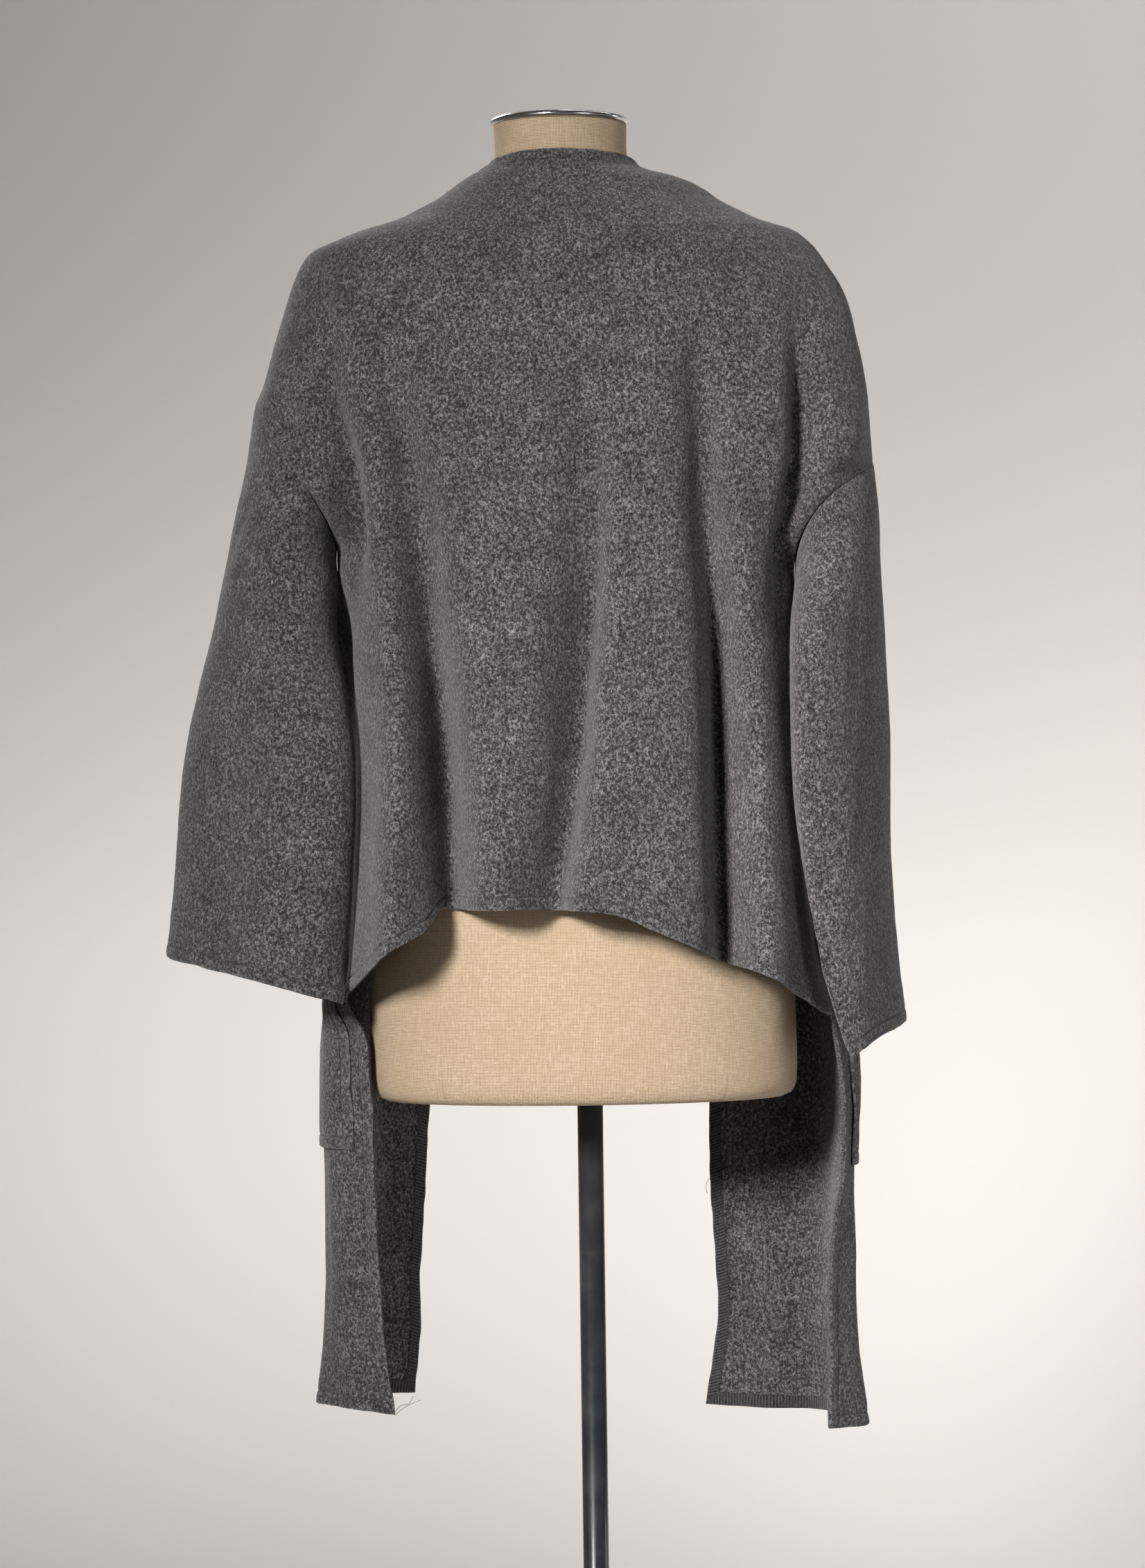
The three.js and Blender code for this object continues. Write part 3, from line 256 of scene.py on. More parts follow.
BACK_FOLDS = tables("z x depth left right", left_armpit_crease=[
    [1150, -184, 0, 10, 12], [1190, -188, 10, 10, 12], [1225, -190, 20, 10, 12], [1265, -192, 24, 10, 13],
    [1300, -199, 21, 10, 14], [1331, -206, 15, 11, 15], [1400, -208, 0, 16, 20],
], left_trough=[
    [820, -117, 54, 9, 21], [935, -117, 54, 9, 21], [979, -119, 55, 9, 21], [1034, -122, 57, 9, 21],
    [1089, -126, 54, 10, 21], [1144, -130, 40, 13, 21], [1199, -133, 29, 15, 20], [1265, -137, 21, 15, 18],
    [1331, -152, 11, 13, 18], [1400, -160, 0, 20, 24],
], left_flute=[
    [820, -154, -29, 20, 13], [935, -150, -29, 20, 13], [1000, -148, -26, 20, 14],
    [1100, -152, -15, 20, 16], [1222, -164, -7, 20, 16], [1320, -178, 0, 20, 16],
], middle_trough=[
    [820, -32, 42, 27, 11], [935, -24, 42, 28, 11], [979, -15, 42, 29, 10], [1034, -5, 42, 30, 9],
    [1089, 0, 40, 30, 9], [1144, 6, 34, 30, 9], [1199, 9, 25, 29, 9], [1265, 9, 16, 28, 10],
    [1343, 8, 0, 24, 16],
], right_trough=[
    [820, 115, 45, 17, 12], [935, 116, 45, 17, 12], [979, 116, 48, 17, 12], [1034, 116, 51, 17, 12],
    [1089, 114, 48, 17, 12], [1144, 110, 40, 17, 12], [1199, 104, 32, 16, 12], [1265, 100, 24, 15, 12],
    [1331, 96, 14, 14, 13], [1400, 93, 0, 20, 22],
], right_flute=[
    [820, 144, -18, 16, 22], [924, 144, -17, 16, 22], [1006, 142, -14, 16, 22], [1144, 136, -8, 16, 22],
    [1240, 128, -4, 16, 20], [1320, 124, 0, 16, 20],
], right_armpit_crease=[
    [1120, 156, 0, 12, 10], [1190, 163, 11, 11, 10], [1235, 173, 25, 11, 10], [1270, 180, 32, 12, 11],
    [1310, 182, 28, 12, 12], [1370, 181, 11, 14, 15], [1430, 178, 0, 18, 18],
])

UPPER_LEVELS = {
    "left": [1526, 1521, 1514, 1498, 1481, 1465, 1448, 1420, 1376, 1333],
    "right": [1526, 1521, 1512, 1494, 1477, 1459, 1442, 1405, 1340, 1278],
}

SIDE_LEVELS = {
    "left": [1208, 1150, 1095, 1040, 990, 940, 890, 842],
    "right": [1190, 1145, 1095, 1040, 990, 940, 890, 816],
}

PANEL_LEVELS = {
    "left": [842, 815, 770, 721, 665, 610, 556, 505],
    "right": [816, 784, 744, 701, 650, 600, 548, 490],
}

# Soft creases that are too small for the solids. Each is a trough along a line at an angle from
# upright, at a place on the piece: across is the distance along a level from the piece's
# middle column, in millimetres, and a negative depth is a ridge.
CREASE = "across z length width depth lean"
CREASES = records(CREASE, back=[
    [14, 1325, 26, 5, 1.6, -4], [10, 1268, 34, 7, 1.2, 6], [-140, 1292, 40, 9, 2.2, 12],
    [-118, 1225, 60, 9, 1.8, 6], [-175, 1300, 46, 8, 1.4, -9], [120, 1300, 60, 10, 1.6, -5],
    [86, 1240, 40, 8, 1.3, 4], [150, 1330, 40, 9, 1.2, -14], [-60, 1150, 70, 10, 1.0, 5],
    [40, 1140, 80, 11, -0.9, 3], [-30, 1010, 60, 9, -1.2, 8], [58, 960, 50, 8, 1.2, -3],
    [-88, 960, 60, 8, -1.4, 3], [-196, 1010, 90, 12, 1.5, 2], [-178, 905, 36, 9, 1.6, -12],
    [168, 940, 70, 11, 1.4, 4], [192, 1090, 80, 12, 1.2, -3], [-215, 1130, 70, 11, 1.2, 4],
    [0, 1470, 12, 60, 0.8, 0], [-60, 1440, 30, 14, 0.7, -40], [70, 1446, 30, 14, 0.7, 40],
], front_left=[
    [-60, 1330, 60, 10, 2.0, -20], [-20, 1230, 80, 10, 1.6, -8], [40, 1150, 90, 12, 1.4, 3],
    [-70, 1090, 80, 11, 1.6, 4], [30, 960, 70, 11, -1.3, 2], [-40, 660, 60, 12, 1.3, 6],
    [55, 600, 70, 12, -1.2, -3], [-86, 640, 60, 10, 1.2, -2], [80, 760, 60, 12, 1.3, 2],
], front_right=[
    [60, 1300, 60, 10, 2.0, 20], [-20, 1210, 80, 10, 1.6, 8], [30, 1110, 90, 12, -1.2, -3],
    [-60, 1050, 80, 11, 1.6, -4], [-84, 690, 36, 8, 2.2, 16], [-76, 640, 34, 8, -1.8, -14],
    [20, 640, 90, 14, 1.2, 3], [70, 570, 60, 12, -1.3, 4],
], sleeve_left=[
    [-150, 1235, 40, 9, 2.4, 30], [-128, 1215, 36, 8, 1.6, 12], [60, 1120, 80, 14, 1.6, 2],
    [-60, 1050, 90, 14, -1.4, 4], [10, 980, 70, 12, 1.5, -3], [110, 930, 60, 12, 1.6, 4],
    [-20, 890, 34, 12, 2.0, 2], [38, 905, 40, 11, -1.6, -4], [84, 900, 44, 11, 1.8, 2],
    [150, 1060, 90, 14, 1.4, 0],
], sleeve_right=[
    [140, 1222, 36, 8, 2.2, -34], [120, 1205, 30, 7, 1.6, -14], [-90, 1110, 90, 13, 1.5, -3],
    [20, 1060, 80, 13, 1.5, 2], [80, 1010, 80, 11, 1.4, -2], [-30, 930, 60, 12, -1.5, 3],
    [60, 890, 50, 10, 1.6, 4], [-130, 980, 90, 13, 1.3, 0],
])


# ---- Small helpers ----
def mix(a, b, share):
    return a + (b - a) * share


def ease(value):
    v = np.clip(value, 0, 1)
    return v * v * (3 - 2 * v)


def bell(distance, width):
    return np.exp(-((distance / width) ** 2))


def wrap(degrees):
    return (np.asarray(degrees, float) + 180) % 360 - 180


def grown(fold, z):
    return ease((fold["top"] - z) / (fold["top"] - fold["full"]))


def superellipse(angle, square):
    """Distance from the centre to an ellipse of unit size; a larger power is squarer."""
    return (np.abs(np.sin(angle)) ** square + np.abs(np.cos(angle)) ** square) ** (-1 / square)


def vector(x, y, z):
    return np.stack(np.broadcast_arrays(x, y, z), axis=-1).astype(float)


def unit(v):
    return v / np.maximum(np.linalg.norm(v, axis=-1, keepdims=True), 1e-9)


def lumps(points, size, seed, cells=32):
    """Smooth random numbers from -1 to 1 that change over this size, in millimetres."""
    grid = np.random.default_rng(seed).uniform(-1, 1, (cells, cells, cells))
    cell = np.asarray(points) / size
    low = np.floor(cell).astype(int)
    part = ease(cell - low)
    total = 0
    for corner in itertools.product((0, 1), repeat=3):
        weight = np.prod(np.where(corner, part, 1 - part), axis=-1)
        i, j, k = np.moveaxis((low + corner) % cells, -1, 0)
        total = total + weight * grid[i, j, k]
    return total


# ---- Surfaces: each returns points on the outer face of the cloth ----
def armhole_z(side, degrees):
    return ARMHOLE[side](np.abs(wrap(degrees)), "z")


def armhole_degrees(side, z):
    degrees = np.linspace(0, 180, 721)
    return np.interp(-np.asarray(z, float), -ARMHOLE[side](degrees, "z"), degrees)


def sleeve_point(side, degrees, z, swing=1.3, spill=0.3):
    """A tube with folds: swing scales them in depth, and spill is their part across it."""
    read = lambda name: SLEEVE[side](z, name)
    outward = np.cos(np.radians(degrees))
    backward = np.sin(np.radians(degrees))
    swell = 0
    for fold in SLEEVE_FOLDS[side]:
        place = bell(wrap(degrees - fold["at"]), fold["width"])
        swell = swell - fold["depth"] * grown(fold, z) * place
    middle = (read("outer") + read("inner")) / 2
    half = (read("outer") - read("inner")) / 2
    share = 1 + swell / np.hypot(half, read("half_depth")) * swing
    return vector(
        middle + half * outward * (1 + (share - 1) * spill),
        read("middle_y") + read("skew") * outward - read("half_depth") * backward * share,
        z,
    )


def seam_point(side, face, z):
    """Where the body ends on one side: shoulder, half of the armhole, then side seam."""
    z = np.asarray(z, float)
    top, bottom = armhole_z(side, 0), armhole_z(side, 180)
    shoulder = vector(SHOULDER[side](z, "x"), SHOULDER[side](z, "y"), z)
    degrees = armhole_degrees(side, z)
    armhole = sleeve_point(side, degrees if face == "back" else 360 - degrees, z)
    start = sleeve_point(side, 180.0, bottom)
    fade = ease((z - (bottom - UNDERARM_BLEND)) / UNDERARM_BLEND)
    side_seam = vector(
        mix(SIDE[side](z, "x"), start[..., 0], fade),
        mix(SIDE[side](z, "y"), start[..., 1], fade),
        z,
    )
    z = z[..., None]
    return np.where(z > top, shoulder, np.where(z >= bottom, armhole, side_seam))


def arc_shares(angle, end, square):
    """Place on a rounded arc, as shares of its half width and of its depth."""
    reach, reach_end = superellipse(angle, square), superellipse(end, square)
    low = reach_end * np.cos(end)
    across = reach * np.sin(angle) / (reach_end * np.sin(end))
    return across, (reach * np.cos(angle) - low) / (1 - low)


def back_half(side, t, z):
    seam = seam_point(side, "back", z)
    end = np.radians(BACK_TURN[side](z, "degrees"))
    across, deep = arc_shares(np.abs(t) * end, end, BACK(z, "square_" + side))
    turn_y = np.where(z > armhole_z(side, 180), BACK_TURN[side](z, "y"), seam[..., 1])
    strip = ease((np.abs(t) - 1 + TURN_STRIP) / TURN_STRIP)
    return vector(
        mix(BACK_CENTRE_X, seam[..., 0], across),
        mix(turn_y, BACK(z, "depth"), deep) + (seam[..., 1] - turn_y) * strip,
        z,
    )


def back_base(t, z):
    """The back without its folds: t runs from -1 at the left seam to 1 at the right seam."""
    t, z = np.broadcast_arrays(np.asarray(t, float), np.asarray(z, float))
    return np.where((t < 0)[..., None], back_half("left", t, z), back_half("right", t, z))


def back_point(t, z, step=0.004, slant=0.3):
    """The back with its folds, which a crease pushes square in and the others nearly straight."""
    here = back_base(t, z)
    along = unit(back_base(np.clip(t + step, -1, 1), z) - back_base(np.clip(t - step, -1, 1), z))
    square = vector(-along[..., 1], along[..., 0], 0)
    straight = unit(vector(-slant * along[..., 1], along[..., 0], 0))
    push = 0
    for name, read in BACK_FOLDS.items():
        off = here[..., 0] - read(z, "x")
        width = np.where(off < 0, read(z, "left"), read(z, "right"))
        depth = (read(z, "depth") * bell(off, width))[..., None]
        push = push + depth * (square if "crease" in name else straight)
    return here + push * ease((1 - np.abs(t)) / CALM_STRIP["back"])[..., None]


def plan_curve(points, ridge, t):
    """Smooth curve through four points in plan, with t from 0 to 1 by distance along it."""
    seam, fold, middle, edge = points
    # At a ridge the curve meets the seam square, as if it were mirrored there.
    turned = np.stack([fold[..., 0], 2 * seam[..., 1] - fold[..., 1]], axis=-1)
    before = mix(2 * seam - fold, turned, ridge[..., None])
    through = np.stack([before, seam, fold, middle, edge, 2 * edge - middle])
    spans = np.diff(through, axis=0)
    lengths = np.linalg.norm(spans[1:4], axis=-1)
    ends = np.cumsum(lengths, axis=0)
    rest = np.clip(t, 0, 1) * ends[2]
    i = (rest > ends[0]).astype(int) + (rest > ends[1]).astype(int)
    pick = lambda stack, k: np.take_along_axis(stack, k[None, ..., None], axis=0)[0]
    size = np.take_along_axis(lengths, i[None], axis=0)[0]
    starts = np.concatenate([np.zeros_like(ends[:1]), ends[:2]])
    start = np.take_along_axis(starts, i[None], axis=0)[0]
    u = ((rest - start) / size)[..., None]
    directions = unit(spans)
    tangent = lambda k: (pick(directions, k - 1) + pick(directions, k)) * 0.5 * size[..., None]
    return hermite(u, pick(through, i + 1), pick(through, i + 2), tangent(i + 1), tangent(i + 2))


def front_base(side, t, z):
    t, z = np.broadcast_arrays(np.asarray(t, float), np.asarray(z, float))
    read = lambda name: FRONT[side](z, name)
    pair = lambda name: np.stack([read(name + "_x"), read(name + "_y")], axis=-1)
    corner = SIDE_LEVELS[side][-1]
    on_seam = (z >= corner)[..., None]
    start = np.where(on_seam, seam_point(side, "front", z)[..., :2], pair("back"))
    points = [start, pair("fold"), pair("middle"), pair("edge")]
    flat = plan_curve(points, np.clip(read("ridge"), 0, 1), t)
    return vector(flat[..., 0], flat[..., 1], z)


def front_point(side, t, z, step=0.01):
    here = front_base(side, t, z)
    ahead = front_base(side, np.clip(t + step, 0, 1), z)
    along = unit(ahead - front_base(side, np.clip(t - step, 0, 1), z))
    mirror = 1 if side == "left" else -1
    inward = vector(along[..., 1] * mirror, -along[..., 0] * mirror, 0)
    depth = 0
    for fold in FRONT_FOLDS[side]:
        depth = depth + fold["depth"] * grown(fold, z) * bell(t - fold["at"], fold["width"])
    return here + inward * (depth * ease(t / CALM_STRIP["front"]))[..., None]


# ---- Grids of points for each piece ----
def levels_of(side, panel=()):
    """Heights from the neck down the shoulder, the armhole and the side, then a panel's."""
    armhole = [float(armhole_z(side, 180 * i / HALF_RING)) for i in range(1, HALF_RING)]
    return np.array([*UPPER_LEVELS[side], *armhole, *SIDE_LEVELS[side], *panel[1:]], float)


def row_lines(levels, spare=0.4 * STEP):
    """Row numbers, as fractions of the levels, spaced by STEP and closer at both hems."""
    last = len(levels) - 1
    lines = []
    for i in range(last):
        count = max(1, round(abs(levels[i + 1] - levels[i]) / STEP))
        lines.extend(i + np.arange(count) / count)
    lines = np.array([*lines, last])
    first_height, last_height = abs(levels[1] - levels[0]), abs(levels[-1] - levels[-2])
    near_top = np.interp(HEM_LINES, np.abs(levels - levels[0]), np.arange(last + 1))
    near_bottom = last - HEM_LINES / last_height
    after_top = lines > near_top[-1] + spare / first_height
    before_bottom = lines < near_bottom[-1] - spare / last_height
    return np.sort(np.concatenate([near_top, lines[after_top & before_bottom], near_bottom]))


def cross_lines(length, start, end):
    """Shares from 0 to 1 across a width in millimetres, closer at edges that are given."""
    before = start / length
    after = 1 - end[::-1] / length
    count = max(2, round((after[0] - before[-1]) * length / STEP))
    middle = np.linspace(before[-1], after[0], count + 1)[1:-1]
    return np.concatenate([before, middle, after])


def back_grid(width=640):
    left, right = levels_of("left"), levels_of("right")
    side_start = len(left) - len(SIDE_LEVELS["left"])
    rows = row_lines(left)[:, None]
    share = cross_lines(width, SEAM_LINES, SEAM_LINES)[None, :]
    t = share * 2 - 1
    index = np.arange(len(left))
    z_left, z_right = np.interp(rows, index, left), np.interp(rows, index, right)
    z = mix(z_left, z_right, share)
    top = mix(left[side_start], right[side_start], share)
    fall = mix(
        (left[side_start] - z_left) / (left[side_start] - left[-1]),
        (right[side_start] - z_right) / (right[side_start] - right[-1]),
        share,
    )
    hem = BACK_HEM(back_base(t, BACK_HEM_MIDDLE_Z)[..., 0], "z")
    z = np.where(rows > side_start, mix(top, hem, fall), z)
    z = z + NECK_BACK_RISE * (1 - t * t) * np.clip(1 - rows, 0, 1)
    return back_point(t, z)


def front_grid(side, width=250, turn_row=0.1):
    """Points of a front panel; below the side seam its back edge is a free, turned one."""
    levels = levels_of(side, PANEL_LEVELS[side])
    rows = row_lines(levels)[:, None]
    sewn = cross_lines(width, SEAM_LINES, HEM_LINES)
    free = cross_lines(width, HEM_LINES, HEM_LINES)
    free = np.interp(np.linspace(0, 1, len(sewn)), np.linspace(0, 1, len(free)), free)
    corner = len(levels) - len(PANEL_LEVELS[side])
    t = mix(sewn[None, :], free[None, :], ease((rows - corner + turn_row) / turn_row))
    return panel_points(side, levels, rows, t)


def pocket_grid(side, width=200):
    """Points of the part of a front panel that its pocket covers."""
    levels = levels_of(side, PANEL_LEVELS[side])
    top, bottom = POCKET[side]["top"], POCKET[side]["bottom"]
    start, end = np.interp([-top, -bottom], -levels, np.arange(len(levels)))
    rows = mix(start, end, cross_lines(top - bottom, HEM_LINES, HEM_LINES))[:, None]
    share = cross_lines((POCKET_LAST - POCKET_FIRST) * width, HEM_LINES, HEM_LINES)
    return panel_points(side, levels, rows, mix(POCKET_FIRST, POCKET_LAST, share)[None, :])


def panel_points(side, levels, rows, t, fold_share=0.3):
    """Points at these rows and shares of a panel, with its neckline and its uneven hem."""
    z = np.interp(rows, np.arange(len(levels)), levels)
    upper = len(UPPER_LEVELS[side]) - 1
    z = z - (NECK_Z - FRONT_NECK_Z) * np.clip(1 - rows / upper, 0, 1) * ease(t)
    ends = PANEL_BOTTOM[side]
    behind = mix(ends["back"], ends["fold"], t / fold_share)
    ahead = mix(ends["fold"], ends["edge"], (t - fold_share) / (1 - fold_share))
    hem = np.where(t < fold_share, behind, ahead)
    last_row = len(levels) - 2
    z = np.where(rows > last_row, mix(levels[last_row], hem, rows - last_row), z)
    return front_point(side, t, z)


def sleeve_grid(side, length=400, columns=145):
    degrees = np.linspace(0, 360, columns + 1)[:-1][None, :]
    share = cross_lines(length, SEAM_LINES, HEM_LINES)[:, None]
    z = mix(armhole_z(side, degrees), CUFF[side](degrees, "z"), share)
    return sleeve_point(side, degrees, z)


# ---- From a grid of points to a wall of cloth ----
def grid_normals(points, closed, centre):
    """Unit normals of a grid, turned away from an upright line at centre."""
    if closed:
        along = np.roll(points, -1, axis=1) - np.roll(points, 1, axis=1)
    else:
        along = np.gradient(points, axis=1)
    normals = unit(np.cross(unit(along), unit(np.gradient(points, axis=0))))
    outward = points[..., :2] - np.array(centre)
    sign = np.sign(np.sum(normals[..., :2] * outward))
    return normals * sign


def point_numbers(rows, columns, closed):
    number = np.arange(rows * columns).reshape(rows, columns)
    return np.concatenate([number, number[:, :1]], axis=1) if closed else number


def grid_faces(number):
    """Four corners of each face between the rows and columns of point numbers."""
    corners = [number[:-1, :-1], number[:-1, 1:], number[1:, 1:], number[1:, :-1]]
    return np.stack(corners, axis=-1).reshape(-1, 4)


def lengths_from(points, axis, end):
    """Distance along the cloth from the first or last row or column of a grid."""
    steps = np.linalg.norm(np.diff(points, axis=axis), axis=-1)
    pad = [(0, 0), (0, 0)]
    pad[axis] = (1, 0) if end == 0 else (0, 1)
    if end == 0:
        return np.pad(np.cumsum(steps, axis=axis), pad)
    return np.pad(np.flip(np.cumsum(np.flip(steps, axis), axis=axis), axis), pad)


EDGES = {"top": (0, 0), "bottom": (0, 1), "left": (1, 0), "right": (1, 1)}
FAR = 900.0  # stands for no edge nearby
# Unevenness of the cloth, and of its free edges: size, seed and height of each wave.
WAVES = ((46, 1, 0.75), (17, 2, 0.34), (6, 3, 0.12))
EDGE_WAVES = ((30, 4, 1.5), (11, 5, 0.45))
EDGE_STRIP = 42  # how far the waves of a free edge reach
EDGE_SWAY = {"size": 13, "seeds": (11, 12, 13), "reach": 9, "height": 0.55}
CREASE_WANDER = {"size": 60, "seed": 7, "share": 0.5}  # how a crease's line strays, by its width
SEAM_HOLD = {"reach": 9, "least": 0.15}  # a seam holds the cloth flat
EDGE_ROUND = 1.5  # distance in which a turned edge reaches its full form
EDGE_MEET, EDGE_HALF = 0.3, 0.05  # nearer than this the two faces almost meet
HEM_BULGE = {"height": 0.45, "at": 5, "width": 4}
HEM_DIP = {"depth": 0.75, "width": 0.75}  # where the stitches pull the hem in
SEAM_DIPS = {2.4: 0.3, 0.7: 0.25}  # width and depth of the dips at a seam
HEM_FOLD = {"depth": 1.1, "end": HEM + 1.0, "fade": 1.2}  # the turned-in layer, inside


def edge_distances(points, edges):
    """Distance along the cloth from each edge, for the rows in which that edge counts."""
    found = {}
    for edge, rows in edges.items():
        found[edge] = lengths_from(points, *EDGES[edge])
        if rows is not None:
            found[edge] = np.where(rows(points)[:, None], found[edge], FAR)
    return found


def nearest(shape, distances):
    return np.min([np.full(shape, FAR), *distances], axis=0)


class Cloth:
    """One cut piece: its grid of outer points, and the distance to its hems and seams."""

    def __init__(self, name, points, centre, hems, seams, closed=False, creases=()):
        self.name, self.closed = name, closed
        shape = points.shape[:2]
        self.run, self.down = lengths_from(points, 1, 0), lengths_from(points, 0, 0)
        self.lines = edge_distances(points, hems)
        self.hem = nearest(shape, self.lines.values())
        self.seam = nearest(shape, edge_distances(points, seams).values())
        across = self.run - self.run[:, [shape[1] // 2]]
        relief = self.relief(points, across, creases)
        self.points = points + grid_normals(points, closed, centre) * relief[..., None]
        near = bell(self.hem, EDGE_SWAY["reach"])[..., None]
        sway = [lumps(self.points, EDGE_SWAY["size"], seed) for seed in EDGE_SWAY["seeds"]]
        self.points += np.stack(sway, axis=-1) * near * EDGE_SWAY["height"]
        self.normals = grid_normals(self.points, closed, centre)

    def relief(self, points, across, creases):
        """How far the cloth stands out of its plain surface."""
        out = sum(lumps(points, size, seed) * height for size, seed, height in WAVES)
        for crease in creases:
            lean = math.radians(crease["lean"])
            aside, up = across - crease["across"], points[..., 2] - crease["z"]
            along = bell(up * math.cos(lean) + aside * math.sin(lean), crease["length"])
            beside = aside * math.cos(lean) - up * math.sin(lean)
            stray = lumps(points, CREASE_WANDER["size"], CREASE_WANDER["seed"])
            beside = beside + stray * crease["width"] * CREASE_WANDER["share"]
            out = out - crease["depth"] * along * bell(beside, crease["width"])
        free = ease(1 - self.hem / EDGE_STRIP)
        edge = (free * lumps(points, size, seed) * height for size, seed, height in EDGE_WAVES)
        held = ease(self.seam / SEAM_HOLD["reach"])
        return (out + sum(edge)) * mix(SEAM_HOLD["least"], 1, held)

    def offsets(self):
        """How far the outer and the inner face stand from the grid's points."""
        radius = WALL / 2
        turned = ease(self.hem / EDGE_ROUND)
        cap = np.clip(radius - self.hem, 0, radius)
        round_off = radius - np.sqrt(np.maximum(radius**2 - cap**2, 0))
        bulge = HEM_BULGE["height"] * bell(self.hem - HEM_BULGE["at"], HEM_BULGE["width"])
        bulge = bulge - HEM_DIP["depth"] * bell(self.hem - HEM, HEM_DIP["width"])
        pinch = sum(depth * bell(self.seam, width) for width, depth in SEAM_DIPS.items())
        fold = HEM_FOLD["depth"] * ease((HEM_FOLD["end"] - self.hem) / HEM_FOLD["fade"])
        outer = bulge * turned - pinch - round_off
        inner = -WALL + round_off - fold * turned
        meet, middle = self.hem < EDGE_MEET, (outer + inner) / 2
        outer = np.where(meet, middle + EDGE_HALF, outer)
        return outer, np.where(meet, middle - EDGE_HALF, inner)

    def build(self, material, lift=0.0):
        """The closed wall: both faces, then the rims that join them."""
        self.outer, self.inner = (
            self.points + self.normals * (offset + lift)[..., None] for offset in self.offsets()
        )
        rows, columns = self.points.shape[:2]
        count = rows * columns
        number = point_numbers(rows, columns, self.closed)
        outside = grid_faces(number)
        faces = [outside, outside[:, [0, 3, 2, 1]] + count]
        rims = [(number[0, 1:], number[0, :-1]), (number[-1, :-1], number[-1, 1:])]
        if not self.closed:
            rims += [(number[:-1, 0], number[1:, 0]), (number[1:, -1], number[:-1, -1])]
        for first, second in rims:
            faces.append(np.stack([first, second, second + count, first + count], axis=1))
        faces = np.concatenate(faces)
        start, beside, below = self.outer[0, 0], self.outer[0, 1], self.outer[1, 0]
        if np.dot(np.cross(beside - start, below - start), self.normals[0, 0]) < 0:
            faces = faces[:, ::-1]
        vertices = np.concatenate([self.outer.reshape(-1, 3), self.inner.reshape(-1, 3)])
        values = {
            "hem": np.tile(self.hem.ravel(), 2),
            "run": np.tile(np.where(self.upright(), self.down, self.run).ravel(), 2),
            "inside": np.repeat([0.0, 1.0], count),
        }
        return mesh_object(self.name, vertices, faces, material, values)

    def upright(self):
        """True where the nearest hem runs up and down, so that its stitches count along z."""
        level = [self.lines[edge] for edge in ("top", "bottom") if edge in self.lines]
        return self.hem < nearest(self.hem.shape, level) - 0.01


def mesh_object(name, vertices, faces, material, values=None):
    """A smooth mesh on the part's body, with one value of each name at every point."""
    mesh = bpy.data.meshes.new(name)
    mesh.from_pydata((np.asarray(vertices) * MM).tolist(), [], [list(face) for face in faces])
    mesh.validate()
    for key, numbers in (values or {}).items():
        attribute = mesh.attributes.new(key, "FLOAT", "POINT")
        attribute.data.foreach_set("value", np.asarray(numbers, np.float32))
    mesh.materials.append(material)
    mesh.polygons.foreach_set("use_smooth", [True] * len(mesh.polygons))
    obj = bpy.data.objects.new(name, mesh)
    bpy.context.scene.collection.objects.link(obj)
    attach(obj, "root")
    return obj


# ---- Stitches and thread ends ----
def resample(line, spacing, values):
    """Values, given at the points of a line, read at equal steps along it."""
    steps = np.linalg.norm(np.diff(line, axis=0), axis=1)
    along = np.concatenate([[0], np.cumsum(steps)])
    places = np.arange(spacing / 2, along[-1], spacing)
    return np.stack([np.interp(places, along, values[:, k]) for k in range(3)], axis=1)


def line_inside(cloth, edge, distance=HEM, slack=1.0):
    """The line on the outer face at this distance from one edge, with its normals."""
    axis = EDGES[edge][0]
    far = cloth.lines[edge]
    index = np.argmin(np.abs(far - distance), axis=axis)
    counts = np.arange(len(index))
    place = (index, counts) if axis == 0 else (counts, index)
    good = np.abs(far[place] - distance) < slack
    for other, numbers in cloth.lines.items():
        if other != edge:
            good &= numbers[place] > distance - slack
    return cloth.outer[place][good], cloth.normals[place][good]


def ring_faces(rings, sides, base=0):
    """Faces between neighbours in a stack of rings of points."""
    faces = []
    for low in range(base, base + (rings - 1) * sides, sides):
        for i in range(sides):
            j = (i + 1) % sides
            faces.append([low + i, low + j, low + sides + j, low + sides + i])
    return faces


STITCH = {"length": 2.3, "spacing": 3.3, "radius": 0.24, "lift": 0.05}
STITCH_RINGS = (  # place along the stitch, share of its radius, and height over the cloth
    (-0.5, 0.35, -0.42), (-0.32, 0.85, -0.12), (0, 1, 0.06), (0.32, 0.85, -0.12),
    (0.5, 0.35, -0.42),
)
SHORTEST_LINE = 4  # points; a shorter line gets no stitches
ROLL = {"radius": 1.9, "spacing": 4, "sides": 10}


def stitches(name, lines, material, sides=6):
    """A row of short sunk stitches along each line of points and normals."""
    ring = np.linspace(0, 2 * np.pi, sides, endpoint=False)
    vertices, faces = [], []
    for points, normals in lines:
        if len(points) < SHORTEST_LINE:
            continue
        middle = resample(points, STITCH["spacing"], points)
        up = unit(resample(points, STITCH["spacing"], normals))
        along = unit(np.gradient(middle, axis=0))
        aside = unit(np.cross(along, up))
        for m, a, n, s in zip(middle, along, up, aside):
            faces += ring_faces(len(STITCH_RINGS), sides, len(vertices))
            for place, thick, height in STITCH_RINGS:
                centre = m + a * place * STITCH["length"] + n * (height + STITCH["lift"])
                for angle in ring:
                    turn = s * math.cos(angle) + n * math.sin(angle)
                    vertices.append(centre + turn * STITCH["radius"] * thick)
    return mesh_object(name, vertices, faces, material)


